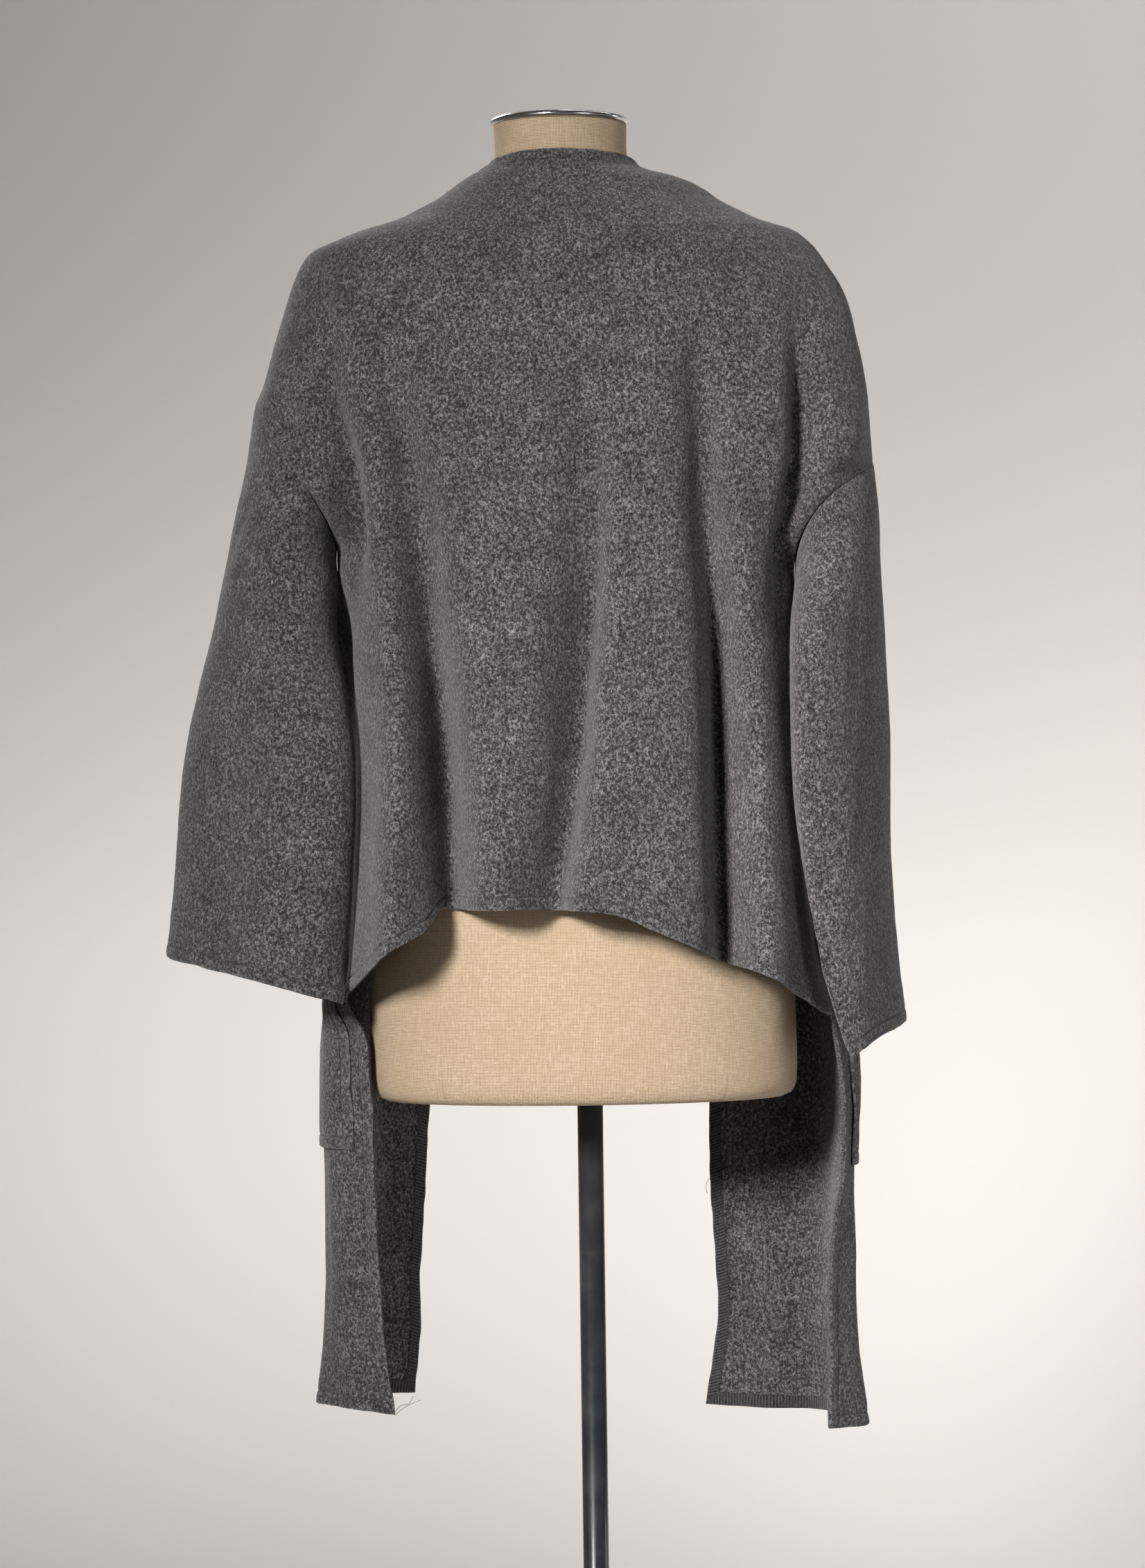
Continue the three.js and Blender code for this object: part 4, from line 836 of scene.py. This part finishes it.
def tube(path, radius, sides):
    """Vertices and faces of a thin tube along a path of points."""
    path = np.asarray(path, float)
    along = unit(np.gradient(path, axis=0))
    aside = unit(np.cross(along, [0.3, 0.2, 0.93]))  # any way that no path runs
    other = np.cross(along, aside)
    ring = np.linspace(0, 2 * np.pi, sides, endpoint=False)
    vertices = []
    for p, a, b in zip(path, aside, other):
        vertices.extend(p + (a * math.cos(r) + b * math.sin(r)) * radius for r in ring)
    last = (len(path) - 1) * sides
    caps = [list(range(sides))[::-1], list(range(last, last + sides))]
    return vertices, ring_faces(len(path), sides) + caps


def seam_allowance(name, line, material):
    """The turned-in edges behind a seam, as one soft roll on the inner face."""
    path = resample(line, ROLL["spacing"], line)
    vertices, faces = tube(path, ROLL["radius"], ROLL["sides"])
    return mesh_object(name, vertices, faces, material)


def on_cloth(cloth, x, z):
    """The outer point that a viewer behind the garment sees at x and z."""
    off = np.hypot(cloth.outer[..., 0] - x, cloth.outer[..., 2] - z)
    off = off + (cloth.normals[..., 1] > 0) * FAR
    return cloth.outer[np.unravel_index(np.argmin(off), off.shape)]


def bend(points, count=26):
    """A smooth path through a few points."""
    points = np.asarray(points, float)
    keys = np.linspace(0, 1, len(points))
    table = Table("k x y z", np.column_stack([keys, points]).tolist())
    return np.stack([table(np.linspace(0, 1, count), name) for name in "xyz"], axis=1)


ARMPIT_END = {"x": 168, "z": 1233}  # where the loose thread ends start
EDGE_END_Z = 683
THREAD = {"radius": 0.2, "sides": 6}


def thread_ends(back, left, right, material):
    """Four loose ends, each from its start through a few steps away from it."""
    corner, edge = left.outer[-1, 0], right.outer[:, -1]
    low = edge[np.argmin(np.abs(edge[:, 2] - EDGE_END_Z))]
    ends = [
        (on_cloth(back, **ARMPIT_END), [0, 0, 0], [3, -2.5, -3], [7, -3, -2], [10, -2, 2]),
        (corner, [0, 0, 0], [6, -1, 5], [13, -2, 9], [21, -1, 12]),
        (corner, [0, 0, 3], [5, -2, 8], [11, -1, 9], [15, 1, 15]),
        (low, [0, 0, 0], [-2.5, -1, -3], [-3.5, -1, -8], [-2.5, 0, -13]),
    ]
    vertices, faces = [], []
    for start, *steps in ends:
        more, skin = tube(bend([start + step for step in steps]), **THREAD)
        faces += [[number + len(vertices) for number in face] for face in skin]
        vertices += more
    return mesh_object("thread_ends", vertices, faces, material)


# ---- Materials ----
OVERLOCK_PITCH = 2.6
LINEN_PITCH = 1.22


class Shader:
    """Short names for the nodes of one material."""

    def __init__(self, name, colour, roughness, metallic=0.0):
        self.material = bpy.data.materials.new(name)
        self.material.use_nodes = True
        self.tree = self.material.node_tree
        self.body = self.tree.nodes["Principled BSDF"]
        self.body.inputs["Base Color"].default_value = (*colour, 1)
        self.body.inputs["Roughness"].default_value = roughness
        self.body.inputs["Metallic"].default_value = metallic
        self.place = self.tree.nodes.new("ShaderNodeTexCoord").outputs["Object"]

    def node(self, kind, values=None, **settings):
        made = self.tree.nodes.new("ShaderNode" + kind)
        for key, value in settings.items():
            setattr(made, key, value)
        for key, value in (values or {}).items():
            if isinstance(value, bpy.types.NodeSocket):
                self.tree.links.new(value, made.inputs[key])
            else:
                made.inputs[key].default_value = value
        return made

    def noise(self, size, detail=2.0, rough=0.5, squash=(1, 1, 1), warp=0.0):
        """Noise whose lumps are about this size in millimetres."""
        place = self.node("Mapping", {"Vector": self.place, "Scale": squash}).outputs[0]
        scale = 1 / (size * MM)
        values = {"Vector": place, "Scale": scale, "Detail": detail, "Roughness": rough}
        return self.node("TexNoise", {**values, "Distortion": warp}).outputs["Fac"]

    def attribute(self, name):
        return self.node("Attribute", attribute_name=name).outputs["Fac"]

    def math(self, operation, a, b=0.0, c=0.0):
        return self.node("Math", {0: a, 1: b, 2: c}, operation=operation).outputs[0]

    def times(self, a, b):
        return self.math("MULTIPLY", a, b)

    def spread(self, value, low, high, out_low=0.0, out_high=1.0):
        values = {0: value, 1: low, 2: high, 3: out_low, 4: out_high}
        return self.node("MapRange", values, interpolation_type="SMOOTHSTEP").outputs[0]

    def blend(self, share, a, b, mode="MIX"):
        made = self.node("Mix", data_type="RGBA", blend_type=mode)
        for key, value in ((0, share), (6, a), (7, b)):
            if isinstance(value, bpy.types.NodeSocket):
                self.tree.links.new(value, made.inputs[key])
            else:
                made.inputs[key].default_value = value if key == 0 else (*value, 1)
        return made.outputs[2]

    def bump(self, height, depth, strength=1.0, before=None):
        values = {"Height": height, "Distance": depth * MM, "Strength": strength}
        if before:
            values["Normal"] = before
        return self.node("Bump", values).outputs[0]

    def wire(self, socket, value):
        self.tree.links.new(value, self.body.inputs[socket])

    def gloss(self, **values):
        """Plain values of the surface, by the names of its sockets."""
        for name, value in values.items():
            self.body.inputs[name.replace("_", " ")].default_value = value


def wool_material():
    """Felted charcoal melange: dark and light fibres, nap, painted shade along the stitch line, and an
    overlocked edge inside.
    """
    made = Shader("wool", (0.1, 0.097, 0.098), 0.96)
    fine = made.noise(1.15, 3.0, 0.65, squash=(1, 1, 0.75), warp=0.8)
    grain = made.noise(0.6, 2.0, 0.6, warp=1.2)
    nap = made.noise(2.3, 2.0, 0.6, squash=(1, 1, 0.8))
    clouds = made.noise(34, 3.0, 0.6)
    rows = made.noise(16, 2.0, 0.5, squash=(0.35, 0.35, 2.2))
    level = made.math("MULTIPLY_ADD", fine, 0.6, made.times(grain, 0.4))
    level = made.math("MULTIPLY_ADD", nap, 0.3, made.times(level, 0.9))
    fleck = made.spread(level, 0.525, 0.755)
    base = made.blend(fleck, (0.017, 0.0158, 0.0162), (0.24, 0.2265, 0.2285))
    tone = made.spread(clouds, 0.3, 0.7, 0.86, 1.14)
    tone = made.times(tone, made.spread(rows, 0.3, 0.7, 0.93, 1.07))
    tone = made.times(tone, made.spread(nap, 0.32, 0.68, 0.74, 1.26))
    grey = made.node("CombineColor", {0: tone, 1: tone, 2: tone}).outputs[0]
    colour = made.blend(1.0, base, grey, "MULTIPLY")

    hem, run, inside = (made.attribute(name) for name in ("hem", "run", "inside"))
    worn = made.times(made.spread(hem, 0.3, 2.6, 0.3, 0.0), made.spread(nap, 0.35, 0.6))
    colour = made.blend(worn, colour, (0.3, 0.29, 0.29))
    # Painted shade: a dark line on the cloth along the stitch line, where the stitches sink it into a
    # groove.
    off_line = made.math("ABSOLUTE", made.math("SUBTRACT", hem, HEM))
    stitch_groove_shade = made.times(made.spread(off_line, 0.2, 1.0, 1.0, 0.0), 0.55)
    colour = made.blend(stitch_groove_shade, colour, (0.018, 0.017, 0.018))
    band = made.times(made.spread(hem, HEM - 1.0, HEM + 0.6, 1.0, 0.0), inside)
    phase = made.math("MULTIPLY_ADD", run, 2 * math.pi / OVERLOCK_PITCH, made.times(hem, 0.5))
    wave = made.math("SINE", phase)
    laced = made.blend(made.spread(wave, -0.3, 0.9), (0.016, 0.015, 0.017), (0.085, 0.08, 0.084))
    made.wire("Base Color", made.blend(made.times(band, 0.8), colour, laced))

    height = made.math("MULTIPLY_ADD", nap, 0.9, made.times(fine, 0.8))
    normal = made.bump(height, 0.9, 0.75)
    normal = made.bump(grain, 0.35, 0.7, normal)
    made.wire("Normal", made.bump(made.times(band, wave), 0.35, 0.9, normal))
    made.gloss(Sheen_Weight=0.22, Sheen_Roughness=0.55, Specular_IOR_Level=0.12)
    return made.material


def thread_material():
    made = Shader("sewing_thread", (0.05, 0.048, 0.05), 0.7)
    twist = made.noise(0.5, 2.0, 0.6)
    made.wire("Base Color", made.blend(twist, (0.02, 0.02, 0.022), (0.11, 0.105, 0.108)))
    made.wire("Normal", made.bump(twist, 0.1, 0.6))
    return made.material


def linen_material():
    """Plain-woven linen: thick and thin threads both ways, slubs, and warm tone changes."""
    made = Shader("linen", (0.62, 0.47, 0.32), 0.88)
    drift = made.noise(9, 2.0, 0.5)
    waves = []
    for way in ("round", "height"):
        place = made.math("MULTIPLY_ADD", drift, 0.8, made.attribute(way))
        waves.append(made.math("SINE", made.times(place, math.pi / LINEN_PITCH)))
    upright, level = waves
    tops = made.times(made.math("ABSOLUTE", upright), made.math("ABSOLUTE", level))
    weave = made.spread(tops, 0.05, 0.85)
    slub_level = made.noise(1.25, 3.0, 0.6, squash=(0.16, 0.16, 1))
    slub_up = made.noise(1.25, 3.0, 0.6, squash=(1, 1, 0.14))
    slubs = made.math("MAXIMUM", slub_level, slub_up)
    colour = made.blend(weave, (0.36, 0.24, 0.135), (0.78, 0.62, 0.45))
    colour = made.blend(made.spread(slubs, 0.48, 0.72, 0, 0.45), colour, (0.80, 0.67, 0.50))
    clouds = made.noise(60, 3.0, 0.6)
    colour = made.blend(made.spread(clouds, 0.35, 0.75, 0, 0.28), colour, (0.52, 0.36, 0.22))
    seam = made.spread(made.attribute("seam"), 0.2, 1.4, 0.75, 0.0)
    made.wire("Base Color", made.blend(seam, colour, (0.30, 0.19, 0.10)))
    height = made.math("MULTIPLY_ADD", slubs, 0.5, weave)
    height = made.math("MULTIPLY_ADD", made.times(upright, level), 0.25, height)
    made.wire("Normal", made.bump(height, 0.35, 0.8))
    made.gloss(Sheen_Weight=0.08, Specular_IOR_Level=0.2)
    return made.material


def steel_material():
    made = Shader("polished_steel", (0.60, 0.59, 0.57), 0.2, 1.0)
    brushed = made.noise(0.6, 2.0, 0.6, squash=(1, 1, 6))
    made.wire("Roughness", made.spread(brushed, 0.3, 0.7, 0.13, 0.27))
    made.wire("Normal", made.bump(brushed, 0.02, 0.4))
    return made.material


def painted_material():
    made = Shader("painted_steel", (0.028, 0.03, 0.036), 0.36)
    dust = made.noise(28, 4.0, 0.65)
    dusty = made.spread(dust, 0.4, 0.8)
    made.wire("Base Color", made.blend(dusty, (0.024, 0.026, 0.031), (0.045, 0.047, 0.05)))
    made.wire("Roughness", made.spread(dust, 0.3, 0.8, 0.3, 0.46))
    made.wire("Normal", made.bump(made.noise(2.2, 2.0, 0.5), 0.05, 0.5))
    made.gloss(Coat_Weight=0.25, Coat_Roughness=0.2)
    return made.material


# ---- The dress form and its stand ----
def form_centre(z):
    lean = (z - FORM_LEAN["low_z"]) / (FORM_LEAN["high_z"] - FORM_LEAN["low_z"])
    return mix(FORM_LEAN["low_x"], FORM_LEAN["high_x"], lean)


FORM_SEAMS = Table("z share", [
    [740, 0.655], [900, 0.66], [1070, 0.60], [1250, 0.62], [1440, 0.60], [1560, 0.5],
])
SEAMS_END_Z = 1490  # over it the seams leave no dark line


def form_torso(material, columns=288, first=780, step=6):
    """Smooth torso with a rounded lower edge, a flat underside and four sewn princess seams."""
    lower_edge = FORM_BOTTOM_Z + np.array([0, 0.5, 1.4, 2.6, 4.4, 7, 10, 14])
    z = np.concatenate([lower_edge, np.arange(first, FORM_TOP_Z, step), [FORM_TOP_Z]])[:, None]
    angle = np.linspace(0, 2 * np.pi, columns + 1)[:-1][None, :]
    reach = superellipse(angle, FORM(z, "square"))
    across, forward = reach * np.cos(angle), reach * np.sin(angle)
    depth = np.where(forward < 0, FORM(z, "back"), FORM(z, "front"))
    width = FORM(z, "half_width")
    seam = np.abs(np.abs(across) - FORM_SEAMS(z, "share")) * width
    # The sewn line sinks, and the linen beside it stands up a little.
    scale = 1 - (0.5 * bell(seam, 1.0) - 0.12 * bell(seam, 5.0)) / width
    points = vector(form_centre(z) + width * across * scale, depth * forward * scale, z)
    number = point_numbers(len(z), columns, True)
    faces = grid_faces(number).tolist() + [number[0, :-1][::-1].tolist(), number[-1, :-1].tolist()]
    around = lengths_from(np.concatenate([points, points[:, :1]], axis=1), 1, 0)[:, :-1]
    values = {
        "round": (around - around[:, [3 * columns // 4]]).ravel(),
        "height": np.broadcast_to(z, (len(z), columns)).ravel(),
        "seam": (seam + np.where(z > SEAMS_END_Z, 50, 0)).ravel(),
    }
    return mesh_object("torso", points.reshape(-1, 3), faces, material, values)


def lathe(name, profile, centre, material, segments):
    """A turned piece from [radius, height] pairs; the first and last lie on the axis."""
    angles = np.linspace(0, 2 * np.pi, segments, endpoint=False)
    vertices, faces, rings = [], [], []
    for radius, height in profile:
        turns = angles if radius else angles[:1]
        base = len(vertices)
        rings.append([base + i % len(turns) for i in range(segments)])
        for a in turns:
            x, y = centre[0] + radius * math.cos(a), centre[1] + radius * math.sin(a)
            vertices.append((x, y, centre[2] + height))
    for low, high in itertools.pairwise(rings):
        for i in range(segments):
            j = (i + 1) % segments
            faces.append(list(dict.fromkeys([low[i], low[j], high[j], high[i]])))
    return mesh_object(name, vertices, faces, material)


def arc(cx, cz, radius, start, end, count=6):
    """Points of a round edge in a profile, by degrees."""
    turns = np.radians(np.linspace(start, end, count))
    return [[cx + radius * math.cos(a), cz + radius * math.sin(a)] for a in turns]


def neck_cap(material):
    """A flat cap with a bright rolled rim."""
    profile = [[0, 0], [NECK_RADIUS - 1, 0], [NECK_RADIUS + 1.2, 0.2]]
    profile += arc(NECK_RADIUS + 0.6, 2.6, 2.0, -60, 60, 9)
    profile += arc(NECK_RADIUS - 0.2, 3.9, 1.3, 40, 110, 5)
    profile += [[NECK_RADIUS - 4, 4.6], [NECK_RADIUS - 5, 4.0], [0, 4.2]]
    place = (FORM_LEAN["high_x"], 0, FORM_TOP_Z + JOINT_GAP)
    return lathe("neck_cap", profile, place, material, 160)


def pole(material):
    bottom = HUB_TOP_Z + JOINT_GAP
    height = FORM_BOTTOM_Z - JOINT_GAP - bottom
    profile = [[0, 0], [POLE_RADIUS, 0], [POLE_RADIUS, 1], [POLE_RADIUS, height], [0, height]]
    return lathe("pole", profile, (0, 0, bottom), material, 96)


def base(material):
    """A round plate that rises to the hub around the pole."""
    profile = [[0, 0], [BASE_RADIUS - 2, 0]]
    profile += arc(BASE_RADIUS - 2, 2, 2, -90, 0)
    profile += arc(BASE_RADIUS - 3, BASE_EDGE - 3, 3, 0, 90)
    slope = ((14, 4), (6, 6), (2, 9), (0, 14))
    profile += [[HUB_RADIUS + out, BASE_EDGE + up] for out, up in slope]
    profile += arc(HUB_RADIUS - 2, HUB_TOP_Z - 2, 2, 0, 90) + [[0, HUB_TOP_Z]]
    return lathe("base", profile, (0, 0, 0), material, 160)


# ---- Build ----
def hand_over(piece, node=None):
    """Hides the solid that a piece replaces, where it has one. The piece is not used."""
    if node:
        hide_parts(node)


wool = wool_material()
thread = thread_material()
painted = painted_material()
SIDES = ("left", "right")
CENTRE = {"left": (-262, -30), "right": (208, -40)}  # of each sleeve, in plan


def cut(name, points, hems, seams, centre=(BACK_CENTRE_X, 0), closed=False):
    return Cloth("wool_" + name, points, centre, hems, seams, closed, CREASES.get(name, ()))


def panel_edge(side, sewn):
    """Picks the rows in which a front's back edge is sewn, or those in which it hangs free."""
    corner = SIDE_LEVELS[side][-1] + 0.5
    return lambda points: (points[:, 0, 2] >= corner) == sewn


whole = dict.fromkeys(("top", "bottom"))
back = cut("back", back_grid(), whole, dict.fromkeys(SIDES))
cloths = {"back": back}
for side in SIDES:
    free = {**whole, "right": None, "left": panel_edge(side, False)}
    name = "front_" + side
    cloths[name] = cut(name, front_grid(side), free, {"left": panel_edge(side, True)})
    hem, seam = {"bottom": None}, {"top": None}
    name = "sleeve_" + side
    cloths[name] = cut(name, sleeve_grid(side), hem, seam, CENTRE[side], closed=True)
for side in SIDES:
    name = "pocket_" + side
    cloths[name] = cut(name, pocket_grid(side), dict.fromkeys(EDGES), {})
for name, cloth in cloths.items():
    hand_over(cloth.build(wool, POCKET_LIFT + WALL if "pocket" in name else 0.0), name)

rows = [line_inside(back, edge) for edge in ("bottom", "top")]
for side in SIDES:
    hems = {"front_": ("bottom", "right", "left"), "sleeve_": ("bottom",), "pocket_": EDGES}
    for name, edges in hems.items():
        rows += [line_inside(cloths[name + side], edge) for edge in edges]
hand_over(stitches("hem_stitches", rows, thread))

for side in SIDES:
    sleeve = cloths["sleeve_" + side].inner[0]
    edge = back.inner[:, 0 if side == "left" else -1]
    lines = {
        "armhole": np.concatenate([sleeve, sleeve[:2]]),
        "side": edge[edge[:, 2] < ARMHOLE[side](180, "z")],
        "shoulder": edge[edge[:, 2] > ARMHOLE[side](0, "z")],
    }
    for name, line in lines.items():
        hand_over(seam_allowance(f"{name}_seam_{side}", line, wool))

hand_over(thread_ends(back, cloths["front_left"], cloths["front_right"], thread))
hand_over(form_torso(linen_material()), "form_torso")
hand_over(neck_cap(steel_material()), "form_neck_cap")
hand_over(pole(painted), "form_pole")
hand_over(base(painted), "form_base")


# ---- Camera, stage and light ----
PALE = (1, 0.965, 0.935)  # the stage as the camera sees it from the sides and from behind
PALE_STRENGTH = 0.58
WORLD_STRENGTH = 0.07
CAMERA_PLACE = (-0.0109, -3.9, 1.017)
FOCAL_LENGTH, SENSOR_HEIGHT = 108.85, 36
CAMERA_ROLL = 0.0135


def aim(obj, target):
    direction = np.array(target) - np.array(obj.location)
    yaw = math.atan2(direction[0], direction[1])
    pitch = math.atan2(direction[2], math.hypot(direction[0], direction[1]))
    obj.rotation_euler = (math.pi / 2 + pitch, 0, -yaw)


def link(obj):
    bpy.context.scene.collection.objects.link(obj)
    return obj


lens = bpy.data.cameras.new("camera")
lens.sensor_fit, lens.sensor_height, lens.lens = "VERTICAL", SENSOR_HEIGHT, FOCAL_LENGTH
camera = link(bpy.data.objects.new("camera", lens))
camera.location = CAMERA_PLACE
camera.rotation_euler = (math.pi / 2, CAMERA_ROLL, 0)
bpy.context.scene.camera = camera


def paper_material(colour=(0.80, 0.765, 0.735), near=0.6, far=1.9):
    """Mottled paper, clear from its rear face so that views from behind still see the object.

    The floor's near part is pale to the camera alone, which leaves the light on the object.
    """
    made = Shader("stage_paper", colour, 0.9)
    shade = tuple(0.985 * c for c in colour)
    made.wire("Base Color", made.blend(made.noise(400, 2.0, 0.5), shade, colour))
    place = made.node("NewGeometry").outputs
    y = made.node("SeparateXYZ", {0: place["Position"]}).outputs["Y"]
    camera_ray = made.node("LightPath").outputs["Is Camera Ray"]
    seen = made.times(camera_ray, made.spread(y, far, near, 0.0, 0.8))
    glow = made.node("Emission", {0: (*PALE, 1), 1: PALE_STRENGTH}).outputs[0]
    floor = made.node("MixShader", {0: seen, 1: made.body.outputs[0], 2: glow}).outputs[0]
    clear = made.node("BsdfTransparent").outputs[0]
    both = made.node("MixShader", {0: place["Backfacing"], 1: floor, 2: clear}).outputs[0]
    made.tree.links.new(both, made.tree.nodes["Material Output"].inputs["Surface"])
    return made.material


def cove(depth=2.6, turn=0.8, height=4.5, half=6.0, front=-7.0):
    """A floor that curves up into a backdrop behind the object, in metres."""
    profile = [[front, 0.0], [depth - turn, 0.0]]
    for a in np.linspace(0, math.pi / 2, 25)[1:]:
        profile.append([depth - turn + turn * math.sin(a), turn - turn * math.cos(a)])
    profile.append([depth, height])
    vertices = [(x, y, z) for y, z in profile for x in (-half, half)]
    faces = [[2 * i, 2 * i + 1, 2 * i + 3, 2 * i + 2] for i in range(len(profile) - 1)]
    mesh = bpy.data.meshes.new("stage_cove")
    mesh.from_pydata(vertices, [], faces)
    mesh.materials.append(paper_material())
    mesh.polygons.foreach_set("use_smooth", [True] * len(mesh.polygons))
    link(bpy.data.objects.new("stage_cove", mesh))


cove()

WARM, COOL = (1, 0.985, 0.965), (0.97, 0.985, 1)
# name: place, target, size, power, spread (None is the widest) and colour
LAMPS = {
    "key": ((-1.55, -3.25, 2.15), (0.62, 0, 0.8), (0.7, 0.7), 11.5, 0.62, WARM),
    "fill": ((2.5, -2.9, 0.7), (0, 0, 0.85), (1.4, 1.2), 4.0, 1.2, COOL),
    "backdrop": ((2.6, 0.7, 1.3), (1.3, 2.6, 1.1), (0.9, 0.9), 16, None, (1, 1, 1)),
    "backdrop_low": ((0.0, 0.9, 0.2), (-0.1, 2.3, 0.5), (2.2, 0.3), 6.6, 1.4, (1, 1, 1)),
    "front": ((-0.95, 2.2, 2.65), (0.05, 0.1, 0.9), (0.9, 0.6), 9, 1.4, (1, 1, 1)),
    "backdrop_top": ((1.2, 0.8, 3.4), (1.4, 2.6, 1.6), (2.4, 0.5), 29, None, (1, 1, 1)),
}
for name, (place, target, size, power, spread, colour) in LAMPS.items():
    lamp = bpy.data.lights.new(name, "AREA")
    lamp.shape = "RECTANGLE"
    lamp.size, lamp.size_y = size
    lamp.energy, lamp.color = power, colour
    if spread:
        lamp.spread = spread
    softbox = link(bpy.data.objects.new(name, lamp))
    softbox.location = place
    aim(softbox, target)

# A dim world lights the object, and the camera sees a pale one beyond the paper.
world = bpy.data.worlds.new("studio")
world.use_nodes = True
nodes, links = world.node_tree.nodes, world.node_tree.links
seen = nodes.new("ShaderNodeMixShader")
links.new(nodes.new("ShaderNodeLightPath").outputs["Is Camera Ray"], seen.inputs[0])
beyond = nodes.new("ShaderNodeBackground")
skies = {1: (nodes["Background"], WARM, WORLD_STRENGTH), 2: (beyond, PALE, PALE_STRENGTH)}
for socket, (sky, colour, strength) in skies.items():
    sky.inputs[0].default_value = (*colour, 1)
    sky.inputs[1].default_value = strength
    links.new(sky.outputs[0], seen.inputs[socket])
links.new(seen.outputs[0], nodes["World Output"].inputs["Surface"])
bpy.context.scene.world = world
bpy.context.scene.view_settings.view_transform = "Standard"
